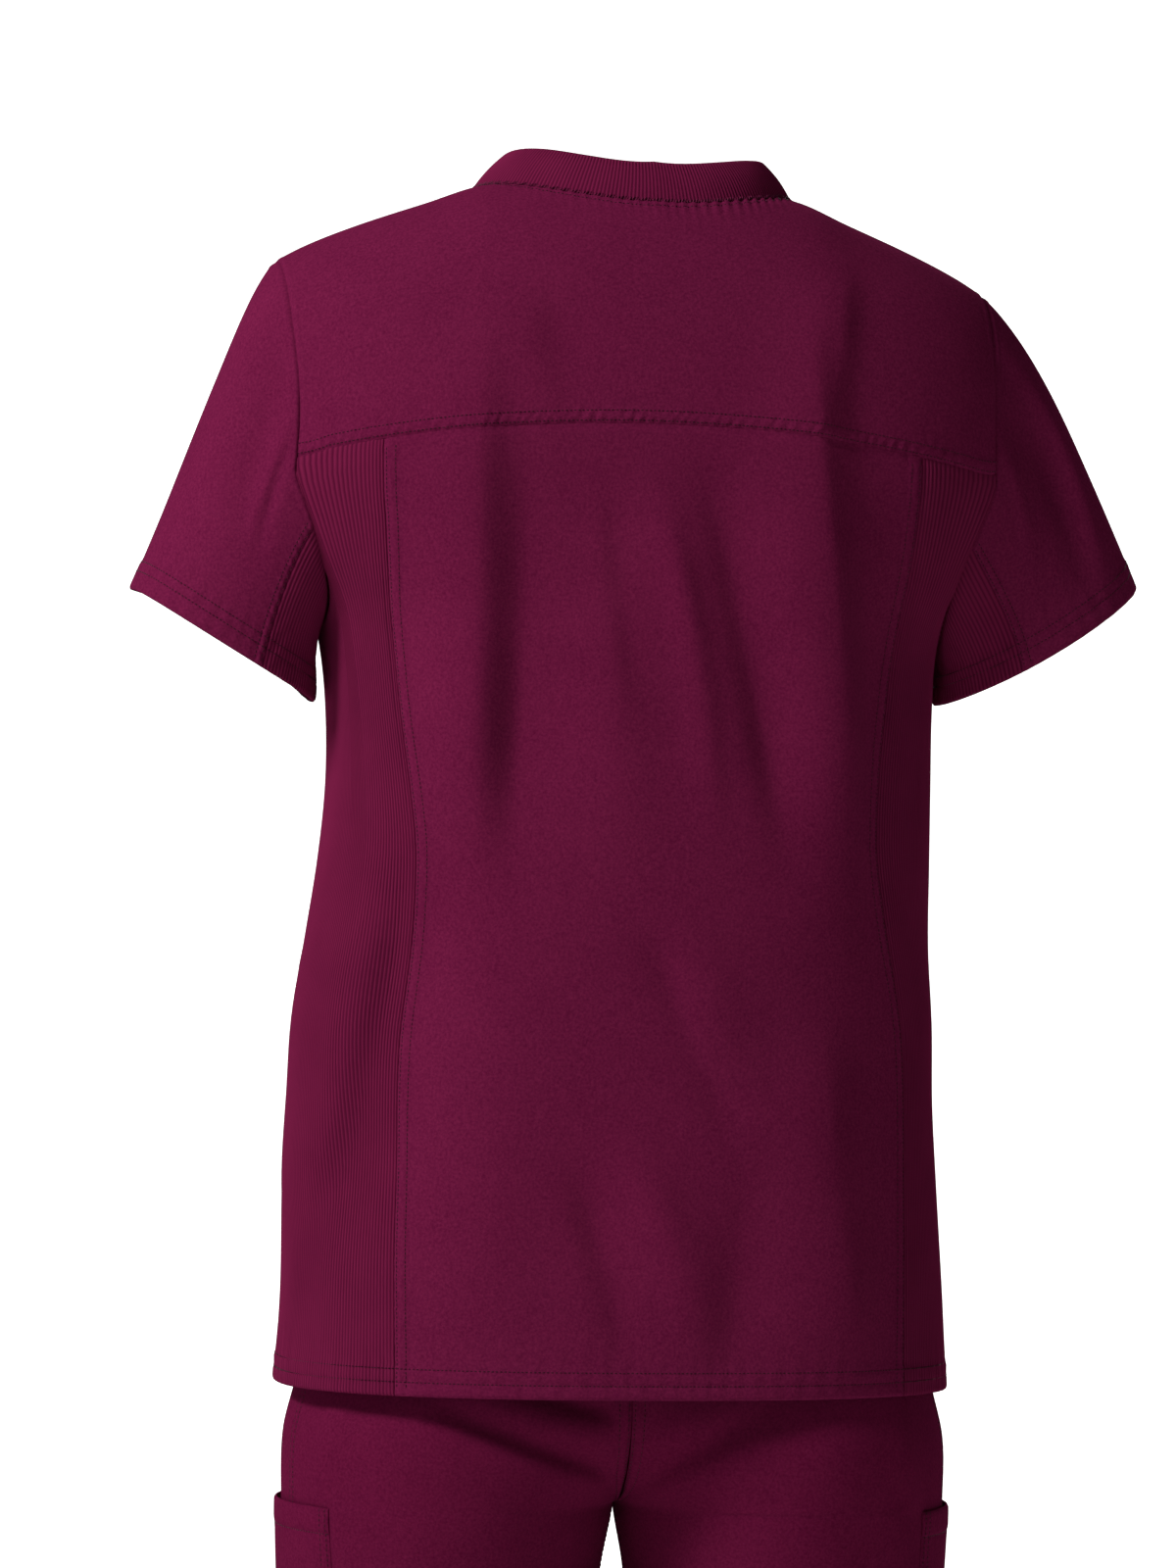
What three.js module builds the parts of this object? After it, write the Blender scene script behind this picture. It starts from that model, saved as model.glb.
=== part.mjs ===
// Medical scrubs, a short-sleeved top worn over matching cargo trousers.
//
// Millimetres, +Z up. The front of the garment faces -Y and the back faces +Y,
// so the left sleeve lies toward +X. The origin is the point between the two
// shoulders where the set is held up: under the middle of the neck opening.
// Every piece of cloth is one closed wall: an outer grid of points worked out
// from the sizes below, an inner grid one cloth thickness behind it, and a rim.

import * as THREE from 'three';

// ---------------------------------------------------------------- sizes

const WALL = 1.6;          // thickness of a made-up cloth wall
const SEAM_GAP = 0.36;     // clearance between two cut pieces at a seam

// The top, as level rings: half width toward +X and -X, depth of back and front.
const TOP_RINGS = [
  { z: -175, left: 243, right: 245, back: 118.0, front: 114 },
  { z: -202, left: 225, right: 230, back: 118.5, front: 114 },
  { z: -221, left: 211, right: 217, back: 119.0, front: 115 },
  { z: -250, left: 190, right: 198, back: 119.0, front: 115 },
  { z: -270, left: 183, right: 190, back: 119.0, front: 115 },
  { z: -308, left: 178, right: 188, back: 118.0, front: 114 },
  { z: -355, left: 177, right: 188, back: 117.0, front: 113 },
  { z: -402, left: 181, right: 188, back: 117.0, front: 113 },
  { z: -450, left: 188, right: 188, back: 118.0, front: 113 },
  { z: -497, left: 195, right: 191, back: 119.0, front: 114 },
  { z: -544, left: 197, right: 192, back: 121.0, front: 116 },
  { z: -591, left: 199, right: 195, back: 124.0, front: 118 },
  { z: -662, left: 201, right: 200, back: 130.0, front: 121 },
  { z: -715, left: 205, right: 203, back: 133.0, front: 123 },
];
const HEM = -715;            // height of the top's hem
const SPRING = -175;         // height where the wall starts to arch over the shoulder
const RING_POWER = 2.4;      // squareness of a level ring
const ARCH_POWER = 2.35;     // squareness of the arch over the shoulder
const ARCH_SCALE = 121;      // length of arch for one radian, used as a height
const SHOULDER_TILT = 0.02;  // rise of the shoulder line toward +X

// Crest of the shoulder: height at each distance from the middle.
const RIDGE = [
  { x: 0, z: 11 },
  { x: 50, z: 8.5 },
  { x: 97, z: 0 },
  { x: 127, z: -11.5 },
  { x: 165, z: -26 },
  { x: 196, z: -39.6 },
  { x: 216, z: -51 },
  { x: 245, z: -72 },
];

const ARMHOLE_X = 213;       // distance of the armhole seam from the middle
const UNDERARM = { left: -263, right: -272 };
const UNDERARM_POWER = 2.2;

const NECK_HALF = 97;        // half width of the neck seam
const NECK_BACK = 62;        // how far back the neck seam lies at centre back
const V_POINT = -150;        // height of the point of the front neckline
const COLLAR_RISE = 25;      // height of the rib band at the back
const COLLAR_V_RISE = 34;    // height of the rib band at the front point
const COLLAR_LEAN = 0.80;    // how far the band's free edge draws in

const YOKE_MIDDLE = -143;    // height of the yoke seam at centre back
const YOKE_DROP = 23;        // its fall toward the armholes

// Seams of the rib side panels: distance from the middle at each height.
const BACK_SEAM = [
  { z: -150, left: 163, right: 163 },
  { z: -220, left: 157, right: 159 },
  { z: -300, left: 147, right: 149 },
  { z: -385, left: 137, right: 142 },
  { z: -430, left: 139, right: 147 },
  { z: -507, left: 147, right: 160 },
  { z: -600, left: 147, right: 162 },
  { z: -715, left: 146, right: 161 },
];
const FRONT_SEAM = [
  { z: -206, x: 199 },
  { z: -262, x: 166 },
  { z: -320, x: 152 },
  { z: -400, x: 143 },
  { z: -507, x: 150 },
  { z: -715, x: 150 },
];

// Places along the armhole: 0 at the underarm, 1 at the spring of the arch,
// 2 on the crest of the shoulder. The shoulder seam lies a little forward.
const GUSSET_PLACE = 0.79;
const YOKE_PLACE = 1.03;
const SHOULDER_PLACE = 2.08;
const ARMHOLE_LOW = [0, 0.2, 0.4, 0.6, GUSSET_PLACE];
const ARMHOLE_HIGH = [0.92, YOKE_PLACE, 1.15, 1.35, 1.55, 1.75, 1.92];

// Lines of points across the yoke seam, in mm from the middle.
const BACK_COLUMNS = [0, 17, 34, 50, 64, 77, 88, 94.5, 97, 118, 140, 162];
const SIDE_COLUMNS = [162, 179, 196, ARMHOLE_X];
const BODY_ROWS = 20;

// The first columns of a side panel fan out a little toward the back seam below
// the armhole: each one's place at the hem as a share of its place at the top.
const SIDE_FAN = [1, 0.8, 0.72, 0.66, 0.84, 0.97];

// Soft folds of the top: a line from (x0, z0) down to (x1, z1) on one face,
// how far it bows sideways, its half width and its height. Troughs are negative.
const TOP_FOLDS = [
  { face: 1, x0: 106, z0: -150, x1: 96, z1: -430, bow: 6, width: 24, height: 6.5 },
  { face: 1, x0: 46, z0: -170, x1: 40, z1: -520, bow: -5, width: 28, height: -4.5 },
  { face: 1, x0: -12, z0: -150, x1: -62, z1: -500, bow: 8, width: 24, height: 6.0 },
  { face: 1, x0: -52, z0: -165, x1: -84, z1: -420, bow: 4, width: 20, height: -4.5 },
  { face: 1, x0: -104, z0: -145, x1: -118, z1: -410, bow: 5, width: 22, height: 7.0 },
  { face: 1, x0: -140, z0: -190, x1: -146, z1: -420, bow: 0, width: 18, height: -4.0 },
  { face: 1, x0: 136, z0: -395, x1: 200, z1: -630, bow: -5, width: 20, height: 4.5 },
  { face: 1, x0: 60, z0: -480, x1: 30, z1: -725, bow: 8, width: 34, height: 4.0 },
  { face: 1, x0: -70, z0: -500, x1: -95, z1: -725, bow: -6, width: 32, height: 4.5 },
  { face: 1, x0: -20, z0: -520, x1: -30, z1: -725, bow: 0, width: 26, height: -3.0 },
  { face: -1, x0: 100, z0: -120, x1: 92, z1: -420, bow: 8, width: 24, height: 5.5 },
  { face: -1, x0: 40, z0: -190, x1: 52, z1: -560, bow: -6, width: 28, height: -4.0 },
  { face: -1, x0: -8, z0: -180, x1: 10, z1: -640, bow: 9, width: 30, height: 4.0 },
  { face: -1, x0: -96, z0: -120, x1: -84, z1: -470, bow: -7, width: 24, height: 6.0 },
  { face: -1, x0: -50, z0: -300, x1: -60, z1: -725, bow: 6, width: 30, height: -3.5 },
  { face: -1, x0: 110, z0: -460, x1: 96, z1: -725, bow: -4, width: 30, height: 4.0 },
];

// Sleeves: the outer and the inner end of each cuff, the half depth of its ring, how
// far its edge sags, how far the front of it is lifted, and how level the sleeve
// leaves the shoulder.
const CUFF = {
  left: { outerX: 298, outerZ: -243.5, innerX: 187, innerZ: -309, halfDepth: 51, sag: 2.5, lift: 14, level: 0.22 },
  right: { outerX: 316, outerZ: -229.5, innerX: 194, innerZ: -304, halfDepth: 51, sag: 5, lift: 0, level: 0.34 },
};

// Soft shifts of the top along X, each about a point (x, z) that fades over its
// half widths: the neck sits a little to the right, the left armhole lies further in.
const SHIFTS = [
  { x: 0, z: 0, wide: 125, high: 75, shift: -6 },
  { x: 208, z: -135, wide: 34, high: 58, shift: -6 },
];
const GUSSET_CUFF_ANGLE = -19;   // degrees round the cuff where the underarm gusset starts
const SLEEVE_ROWS = 8;

// Folds of a sleeve: place round the armhole (back side positive), along the
// sleeve from 0 at the armhole to 1 at the cuff, half width in the same terms.
const SLEEVE_FOLDS = [
  { side: 'left', place: 1.62, from: 0.0, to: 0.75, width: 0.16, height: 3.0 },
  { side: 'left', place: 1.25, from: 0.0, to: 0.7, width: 0.14, height: -3.0 },
  { side: 'right', place: 1.30, from: 0.0, to: 0.9, width: 0.16, height: -4.0 },
  { side: 'right', place: 1.62, from: 0.05, to: 1.1, width: 0.16, height: 4.5 },
  { side: 'left', place: -1.4, from: 0.0, to: 0.8, width: 0.18, height: 3.0 },
  { side: 'right', place: -1.4, from: 0.0, to: 0.8, width: 0.18, height: 3.5 },
];

// The trousers, one leg: the leg's centre line, its half widths about that line
// away from and toward the other leg, and its depths to the back and the front.
const LEG_RINGS = [
  { z: -520, centre: 84, outer: 78, inner: 88, back: 80, front: 78 },
  { z: -560, centre: 86, outer: 83, inner: 90, back: 86, front: 82 },
  { z: -620, centre: 90, outer: 88, inner: 92, back: 92, front: 87 },
  { z: -680, centre: 94, outer: 92.5, inner: 95, back: 100, front: 93 },
  { z: -712, centre: 96, outer: 95.5, inner: 97, back: 105, front: 98 },
  { z: -745, centre: 99, outer: 100, inner: 99, back: 112, front: 103 },
  { z: -785, centre: 101, outer: 98.5, inner: 100.8, back: 108, front: 102 },
  { z: -827, centre: 102.5, outer: 96, inner: 95.1, back: 102, front: 98 },
  { z: -900, centre: 103, outer: 91, inner: 90, back: 95, front: 93 },
  { z: -1000, centre: 105, outer: 84, inner: 84, back: 87, front: 86 },
  { z: -1150, centre: 108, outer: 78, inner: 78, back: 79, front: 80 },
  { z: -1300, centre: 111, outer: 74, inner: 74, back: 76, front: 76 },
  { z: -1450, centre: 113, outer: 72, inner: 72, back: 73, front: 73 },
  { z: -1548, centre: 114, outer: 71, inner: 71, back: 73, front: 72 },
];
const LEG_POWER = 2.02;
const WAIST_TOP = -520;
const WAIST_SEAM = -560;
const CROTCH = -785;
const CROTCH_RISE = { back: 92, front: 118 };  // height over which the crotch seam turns up
const TROUSER_TURN = -4;                       // degrees the hips are turned about +Z
const TROUSER_SHIFT = -3;                      // sideways place of the hips
const SIDE_SEAM_ANGLE = 16;                    // degrees behind the side

const POCKET_BACK_ANGLE = 30;
const POCKET_FRONT_ANGLE = -70;
const POCKET_TOP = -785;
const POCKET_BOTTOM = -985;
const POCKET_FULLNESS = 3.0;   // how far the bag of the pocket stands off the leg
const BACK_ANGLES = [16, 30, 48, 66, 84, 102, 121, 141, 161, 180];
const FRONT_ANGLES = [16, -1, -19, -36, -53, -70, -90, -112, -135, -158, -180];
const TROUSER_LEVELS = [
  -560, -600, -640, -675, -700, -722, -742, -758, -770, -778, -783, -785,
  -810, -835, -885, -935, -985, -1050, -1130, -1220, -1320, -1430, -1548,
];
const WAIST_LEVELS = [-520, -540, -560];

// Folds of the trousers: angle round the leg and height at both ends, half
// width in mm round the leg, and height.
const LEG_FOLDS = [
  { side: 'left', angle0: 150, z0: -770, angle1: 95, z1: -715, width: 13, height: -5 },
  { side: 'left', angle0: 158, z0: -800, angle1: 100, z1: -760, width: 13, height: 4 },
  { side: 'right', angle0: 150, z0: -770, angle1: 92, z1: -722, width: 13, height: -5 },
  { side: 'right', angle0: 155, z0: -815, angle1: 105, z1: -850, width: 15, height: 4 },
  { side: 'left', angle0: 70, z0: -1080, angle1: 130, z1: -1140, width: 20, height: 4 },
  { side: 'right', angle0: 120, z0: -1080, angle1: 60, z1: -1150, width: 20, height: 4 },
  { side: 'left', angle0: -60, z0: -1420, angle1: -130, z1: -1465, width: 18, height: 4 },
  { side: 'right', angle0: -130, z0: -1410, angle1: -60, z1: -1460, width: 18, height: 4 },
];

// ---------------------------------------------------------------- helpers

const RAD = Math.PI / 180;
const clamp = (value, low, high) => Math.min(high, Math.max(low, value));
const mix = (a, b, share) => a + (b - a) * share;
const signedPower = (value, power) => Math.sign(value) * Math.abs(value) ** power;
const smooth = (value) => value * value * (3 - 2 * value);

// Value of a column of a table at a given key: a smooth cubic through its rows.
function between(rows, key, at, column) {
  const last = rows.length - 1;
  const direction = Math.sign(rows[last][key] - rows[0][key]);
  let i = 0;
  while (i < last - 1 && direction * (at - rows[i + 1][key]) > 0) i += 1;
  const slope = (k) => {
    const a = rows[Math.max(0, k - 1)];
    const b = rows[Math.min(last, k + 1)];
    return (b[column] - a[column]) / (b[key] - a[key]);
  };
  const span = rows[i + 1][key] - rows[i][key];
  const t = clamp((at - rows[i][key]) / span, 0, 1);
  const t2 = t * t;
  const t3 = t2 * t;
  return (2 * t3 - 3 * t2 + 1) * rows[i][column] + (t3 - 2 * t2 + t) * span * slope(i)
    + (3 * t2 - 2 * t3) * rows[i + 1][column] + (t3 - t2) * span * slope(i + 1);
}

// Ordinate of a superellipse: 1 in the middle, 0 at the end.
function bulge(share, power) {
  return (1 - Math.min(1, Math.abs(share)) ** power) ** (1 / power);
}

// ---------------------------------------------------------------- body of the top

function ridge(x) {
  return between(RIDGE, 'x', Math.abs(x), 'z') + SHOULDER_TILT * x;
}

// Depth of a level ring at x, on the back (face 1) or the front (face -1).
function ringDepth(x, z, face) {
  const half = between(TOP_RINGS, 'z', z, x >= 0 ? 'left' : 'right');
  const depth = between(TOP_RINGS, 'z', z, face > 0 ? 'back' : 'front');
  return depth * bulge(x / half, RING_POWER);
}

// Height of the folds of the top at a point of one face.
function topFold(x, z, face) {
  let sum = 0;
  for (const fold of TOP_FOLDS) {
    if (fold.face !== face) continue;
    const along = (z - fold.z0) / (fold.z1 - fold.z0);
    if (along <= 0 || along >= 1) {
      if (!(along >= 1 && fold.z1 < HEM)) continue;
    }
    const line = mix(fold.x0, fold.x1, along) + fold.bow * Math.sin(Math.PI * along);
    const across = (x - line) / fold.width;
    const fade = Math.min(1, 2.6 * along) * Math.min(1, 2.6 * (1 - along));
    sum += fold.height * smooth(clamp(fade, 0, 1)) * Math.exp(-across * across);
  }
  return sum;
}

// A point of the top's outer wall and the wall's outward normal there. The
// height runs on as a length of arch above the spring line, so it can pass
// over the crest of the shoulder and down the other face.
function bodyPoint(x, height, face) {
  const step = 0.5;
  const plain = (px, pHeight) => {
    if (pHeight <= SPRING) return new THREE.Vector3(px, face * ringDepth(px, pHeight, face), pHeight);
    const angle = (pHeight - SPRING) / ARCH_SCALE;
    const side = Math.cos(angle) >= 0 ? face : -face;
    const depth = ringDepth(px, SPRING, side);
    const rise = ridge(px) - SPRING;
    return new THREE.Vector3(
      px,
      side * depth * Math.abs(Math.cos(angle)) ** (2 / ARCH_POWER),
      SPRING + rise * Math.max(0, Math.sin(angle)) ** (2 / ARCH_POWER),
    );
  };
  const point = plain(x, height);
  const across = plain(x + step, height).sub(plain(x - step, height));
  const up = plain(x, height + step).sub(plain(x, height - step));
  const normal = across.cross(up).multiplyScalar(-face).normalize();
  point.addScaledVector(normal, topFold(x, point.z, face));
  return { point, normal };
}

// The same wall by the angle round a level ring, for the sides of the body.
function sidePoint(angle, z) {
  const face = angle >= 0 ? 1 : -1;
  const level = Math.min(z, SPRING);
  const place = (a, pz) => {
    const cosine = Math.cos(a);
    const sine = Math.sin(a);
    const zLevel = Math.min(pz, SPRING);
    const half = between(TOP_RINGS, 'z', zLevel, cosine >= 0 ? 'left' : 'right');
    const depth = between(TOP_RINGS, 'z', zLevel, sine >= 0 ? 'back' : 'front');
    const radius = (Math.abs(cosine / half) ** RING_POWER
      + Math.abs(sine / depth) ** RING_POWER) ** (-1 / RING_POWER);
    const point = new THREE.Vector3(radius * cosine, radius * sine, pz);
    if (pz > SPRING) {
      const share = clamp((pz - SPRING) / (ridge(point.x) - SPRING), 0, 1);
      point.y *= bulge(share, ARCH_POWER);
    }
    return point;
  };
  const point = place(angle, z);
  const round = place(angle + 0.004, z).sub(place(angle - 0.004, z));
  const up = place(angle, z + 0.5).sub(place(angle, z - 0.5));
  const normal = round.cross(up).normalize();
  const fade = level > -290 ? clamp((-level - 230) / 60, 0, 1) : 1;
  const sideFade = Math.abs(point.x) > 172 ? fade : 1;
  point.addScaledVector(normal, topFold(point.x, point.z, face) * sideFade);
  return { point, normal };
}

// Height of the yoke seam, as a length of arch, at x.
function yokeHeight(x) {
  const z = YOKE_MIDDLE - YOKE_DROP * (x / ARMHOLE_X) ** 2 + SHOULDER_TILT * 0.5 * x;
  const share = clamp((z - SPRING) / (ridge(x) - SPRING), 0, 1);
  return SPRING + ARCH_SCALE * Math.asin(share ** (ARCH_POWER / 2));
}

const heightOfPlace = (place) => SPRING + ARCH_SCALE * (place - 1) * Math.PI / 2;

// Height of the back edge of the neck opening at x.
function backNeckHeight(x) {
  const low = -18.5;
  const y = low + (NECK_BACK - low) * bulge(x / NECK_HALF, 2.2);
  const depth = ringDepth(x, SPRING, y >= 0 ? 1 : -1);
  const cosine = signedPower(y / depth, ARCH_POWER / 2);
  return SPRING + ARCH_SCALE * Math.acos(clamp(cosine, -1, 1));
}

// Height of the front edge of the neck opening at x: a plain V.
function frontNeckHeight(x) {
  const corner = heightOfPlace(4 - SHOULDER_PLACE - 0.0);
  const cornerAngle = (corner - SPRING) / ARCH_SCALE;
  const cornerZ = SPRING + (ridge(NECK_HALF) - SPRING) * Math.sin(cornerAngle) ** (2 / ARCH_POWER);
  const z = V_POINT + (cornerZ - V_POINT) * (Math.abs(x) / NECK_HALF) ** 1.15;
  const share = clamp((z - SPRING) / (ridge(x) - SPRING), 0, 1);
  const height = SPRING + ARCH_SCALE * Math.asin(share ** (ARCH_POWER / 2));
  return Math.min(corner, height);
}

// ---------------------------------------------------------------- armholes

// A point of the armhole seam on the body. Side is 1 for left, face 1 for back.
function armholePoint(side, face, place) {
  const name = side > 0 ? 'left' : 'right';
  if (place >= 1) {
    const x = side * (ARMHOLE_X + 2 * (place - 1));
    return bodyPoint(x, heightOfPlace(place), face);
  }
  const angle = (1 - place) * Math.PI / 2;
  const low = UNDERARM[name];
  const z = SPRING + (low - SPRING) * Math.sin(angle) ** (2 / UNDERARM_POWER);
  const y = face * ringDepth(side * ARMHOLE_X, SPRING, face)
    * Math.max(0, Math.cos(angle)) ** (2 / UNDERARM_POWER);
  const half = between(TOP_RINGS, 'z', z, name);
  const depth = between(TOP_RINGS, 'z', z, face > 0 ? 'back' : 'front');
  const x = side * half * bulge(y / depth, RING_POWER);
  return sidePoint(Math.atan2(y, x), z);
}

// All places round one armhole, from the underarm up the back, over the
// shoulder and down the front.
const ARMHOLE_RING = [
  ...[...ARMHOLE_LOW, ...ARMHOLE_HIGH, SHOULDER_PLACE].map((place) => ({ face: 1, place })),
  ...[...ARMHOLE_LOW.slice(1), ...ARMHOLE_HIGH.slice(0, -1)].reverse()
    .map((place) => ({ face: -1, place })),
];

// ---------------------------------------------------------------- sleeves

function sleeveFold(name, face, place, along) {
  let sum = 0;
  for (const fold of SLEEVE_FOLDS) {
    if (fold.side !== name) continue;
    const share = (along - fold.from) / (fold.to - fold.from);
    if (share <= 0 || share >= 1) continue;
    const across = (face * place - fold.place) / fold.width;
    sum += fold.height * Math.sin(Math.PI * share) * Math.exp(-across * across);
  }
  return sum;
}

// Angle round the cuff for each place of the armhole ring: the gusset keeps
// its share under the arm and the sleeve takes the rest.
function cuffAngle(face, place) {
  const low = -90;
  const seam = GUSSET_CUFF_ANGLE;
  const angle = place <= GUSSET_PLACE
    ? mix(low, seam, place / GUSSET_PLACE)
    : mix(seam, 90, (place - GUSSET_PLACE) / (2 - GUSSET_PLACE));
  return (face > 0 ? angle : 180 - angle) * RAD;
}

// A grid of points from the armhole ring to the cuff, along smooth curves that
// leave the shoulder outward and turn down toward the cuff.
function sleeveGrid(side) {
  const name = side > 0 ? 'left' : 'right';
  const cuff = CUFF[name];
  const centre = new THREE.Vector3((cuff.outerX + cuff.innerX) / 2, 0, (cuff.outerZ + cuff.innerZ) / 2);
  const major = new THREE.Vector3((cuff.outerX - cuff.innerX) / 2, 0, (cuff.outerZ - cuff.innerZ) / 2);
  const outward = new THREE.Vector3(-major.z, 0, major.x).normalize().multiplyScalar(-1);
  if (outward.z > 0) outward.negate();
  const top = ridge(side * ARMHOLE_X);
  const grid = ARMHOLE_RING.map(({ face, place }) => {
    const start = armholePoint(side, face, place).point;
    const angle = cuffAngle(face, place);
    const depthShare = signedPower(Math.cos(angle), 0.95);
    const end = centre.clone()
      .addScaledVector(major, signedPower(Math.sin(angle), 0.95))
      .addScaledVector(outward, cuff.sag * depthShare * depthShare)
      .addScaledVector(outward, -cuff.lift * Math.min(0, depthShare) ** 2);
    end.y += cuff.halfDepth * depthShare;
    end.x *= side;
    const height = clamp((start.z - UNDERARM[name]) / (top - UNDERARM[name]), 0, 1);
    const lean = clamp(start.y / 66, -1, 1);
    const leave = new THREE.Vector3(side * (0.45 + cuff.level * height ** 2), -0.17 * lean, 0);
    leave.z = -Math.sqrt(Math.max(0.05, 1 - leave.x ** 2 - leave.y ** 2));
    const arrive = new THREE.Vector3(side * (0.12 + 0.32 * height), -0.06 * lean, -1).normalize();
    const reach = start.distanceTo(end);
    const near = start.clone().addScaledVector(leave, reach * mix(0.30, 0.17, height));
    const far = end.clone().addScaledVector(arrive, -reach * mix(0.33, 0.44, height));
    return Array.from({ length: SLEEVE_ROWS + 1 }, (_, row) => {
      const t = row / SLEEVE_ROWS;
      const s = 1 - t;
      return new THREE.Vector3()
        .addScaledVector(start, s * s * s)
        .addScaledVector(near, 3 * s * s * t)
        .addScaledVector(far, 3 * s * t * t)
        .addScaledVector(end, t * t * t);
    });
  });
  const count = grid.length;
  const normals = grid.map((column, i) => column.map((point, row) => {
    const round = grid[(i + 1) % count][row].clone().sub(grid[(i + count - 1) % count][row]);
    const down = column[Math.min(SLEEVE_ROWS, row + 1)].clone().sub(column[Math.max(0, row - 1)]);
    return round.cross(down).normalize().multiplyScalar(-side);
  }));
  const middle = new THREE.Vector3(side * 250, 0, -190);
  const check = normals[12][4].dot(grid[12][4].clone().sub(middle));
  if (check < 0) normals.forEach((column) => column.forEach((normal) => normal.negate()));
  grid.forEach((column, i) => column.forEach((point, row) => {
    const { face, place } = ARMHOLE_RING[i];
    const t = row / SLEEVE_ROWS;
    const height = sleeveFold(name, face, place, t);
    point.addScaledVector(normals[i][row], height);
  }));
  return { grid, normals };
}

const SLEEVE = { '1': sleeveGrid(1), '-1': sleeveGrid(-1) };

// Offset to the inner face at the armhole: body and sleeve share one mitre.
function armholeOffset(side, index) {
  const { face, place } = ARMHOLE_RING[index];
  const body = armholePoint(side, face, place).normal;
  const sleeve = SLEEVE[side].normals[index][0];
  const mitre = body.clone().add(sleeve).normalize();
  const stretch = Math.min(2, 1 / Math.max(0.1, mitre.dot(body)));
  return mitre.multiplyScalar(WALL * stretch);
}

// The way square to the armhole seam, in the body's wall or in the sleeve's.
function armholeWay(side, index, ofSleeve) {
  const count = ARMHOLE_RING.length;
  const at = (i) => {
    const { face, place } = ARMHOLE_RING[(i + count) % count];
    return armholePoint(side, face, place);
  };
  const round = at(index + 1).point.sub(at(index - 1).point);
  const normal = ofSleeve ? SLEEVE[side].normals[index][0] : at(index).normal;
  const way = round.cross(normal).normalize();
  const middle = new THREE.Vector3(side * 200, 0, -160);
  const outward = way.dot(at(index).point.sub(middle)) > 0;
  const along = SLEEVE[side].grid[index][1].clone().sub(SLEEVE[side].grid[index][0]);
  const right = ofSleeve ? way.dot(along) > 0 : outward;
  return right ? way : way.negate();
}

function ringIndex(face, place) {
  const shared = place === SHOULDER_PLACE || (place === 1.92 && face < 0);
  if (shared) return ARMHOLE_RING.findIndex((entry) => entry.place === SHOULDER_PLACE);
  if (place === 0) return 0;
  return ARMHOLE_RING.findIndex((entry) => entry.face === face && entry.place === place);
}

// ---------------------------------------------------------------- solid walls

// Draws one edge of a grid back by half a seam gap: toward the next line, or
// along the cell's own way where the seam runs askew to the grid.
function drawBack(cells, edge, amount = SEAM_GAP / 2) {
  const columns = cells.length;
  const rows = cells[0].length;
  const pull = (cell, next) => {
    const way = cell.way && cell.wayEdge === edge
      ? cell.way.clone() : next.point.clone().sub(cell.point).normalize();
    cell.moved.addScaledVector(way, amount);
  };
  if (edge === 'first') for (let r = 0; r < rows; r += 1) pull(cells[0][r], cells[1][r]);
  if (edge === 'last') for (let r = 0; r < rows; r += 1) pull(cells[columns - 1][r], cells[columns - 2][r]);
  if (edge === 'bottom') for (let c = 0; c < columns; c += 1) pull(cells[c][0], cells[c][1]);
  if (edge === 'top') for (let c = 0; c < columns; c += 1) pull(cells[c][rows - 1], cells[c][rows - 2]);
}

// A closed wall from a grid of cells { point, offset }: columns by rows. The
// offset leads from the outer face to the inner face, inward.
function wallGeometry(cells, { seams = [], closed = false, settle = (vector) => vector } = {}) {
  const columns = cells.length;
  const rows = cells[0].length;
  for (const column of cells) for (const cell of column) cell.moved = new THREE.Vector3();
  for (const edge of seams) drawBack(cells, edge);
  const positions = [];
  const put = (vector) => {
    settle(vector);
    positions.push(vector.x, vector.y, vector.z);
    return positions.length / 3 - 1;
  };
  const outer = cells.map((column) => column.map((cell) => put(cell.point.clone().add(cell.moved))));
  const inner = cells.map((column) => column.map(
    (cell) => put(cell.point.clone().add(cell.moved).sub(cell.offset)),
  ));
  const faces = [];
  const quad = (a, b, c, d, flip) => {
    if (flip) faces.push(a, c, b, a, d, c);
    else faces.push(a, b, c, a, c, d);
  };
  const lastColumn = closed ? columns : columns - 1;
  for (let c = 0; c < lastColumn; c += 1) {
    const n = (c + 1) % columns;
    for (let r = 0; r < rows - 1; r += 1) {
      quad(outer[c][r], outer[n][r], outer[n][r + 1], outer[c][r + 1], false);
      quad(inner[c][r], inner[n][r], inner[n][r + 1], inner[c][r + 1], true);
    }
    quad(inner[c][0], inner[n][0], outer[n][0], outer[c][0], false);
    quad(outer[c][rows - 1], outer[n][rows - 1], inner[n][rows - 1], inner[c][rows - 1], false);
  }
  if (!closed) {
    const e = columns - 1;
    for (let r = 0; r < rows - 1; r += 1) {
      quad(inner[0][r], outer[0][r], outer[0][r + 1], inner[0][r + 1], false);
      quad(outer[e][r], inner[e][r], inner[e][r + 1], outer[e][r + 1], false);
    }
  }
  let volume = 0;
  const corner = (i) => new THREE.Vector3(positions[3 * i], positions[3 * i + 1], positions[3 * i + 2]);
  for (let i = 0; i < faces.length; i += 3) {
    volume += corner(faces[i]).dot(corner(faces[i + 1]).cross(corner(faces[i + 2])));
  }
  if (volume < 0) {
    for (let i = 0; i < faces.length; i += 3) [faces[i + 1], faces[i + 2]] = [faces[i + 2], faces[i + 1]];
  }
  const geometry = new THREE.BufferGeometry();
  geometry.setAttribute('position', new THREE.Float32BufferAttribute(positions, 3));
  geometry.setIndex(faces);
  geometry.computeVertexNormals();
  return geometry;
}

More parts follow.
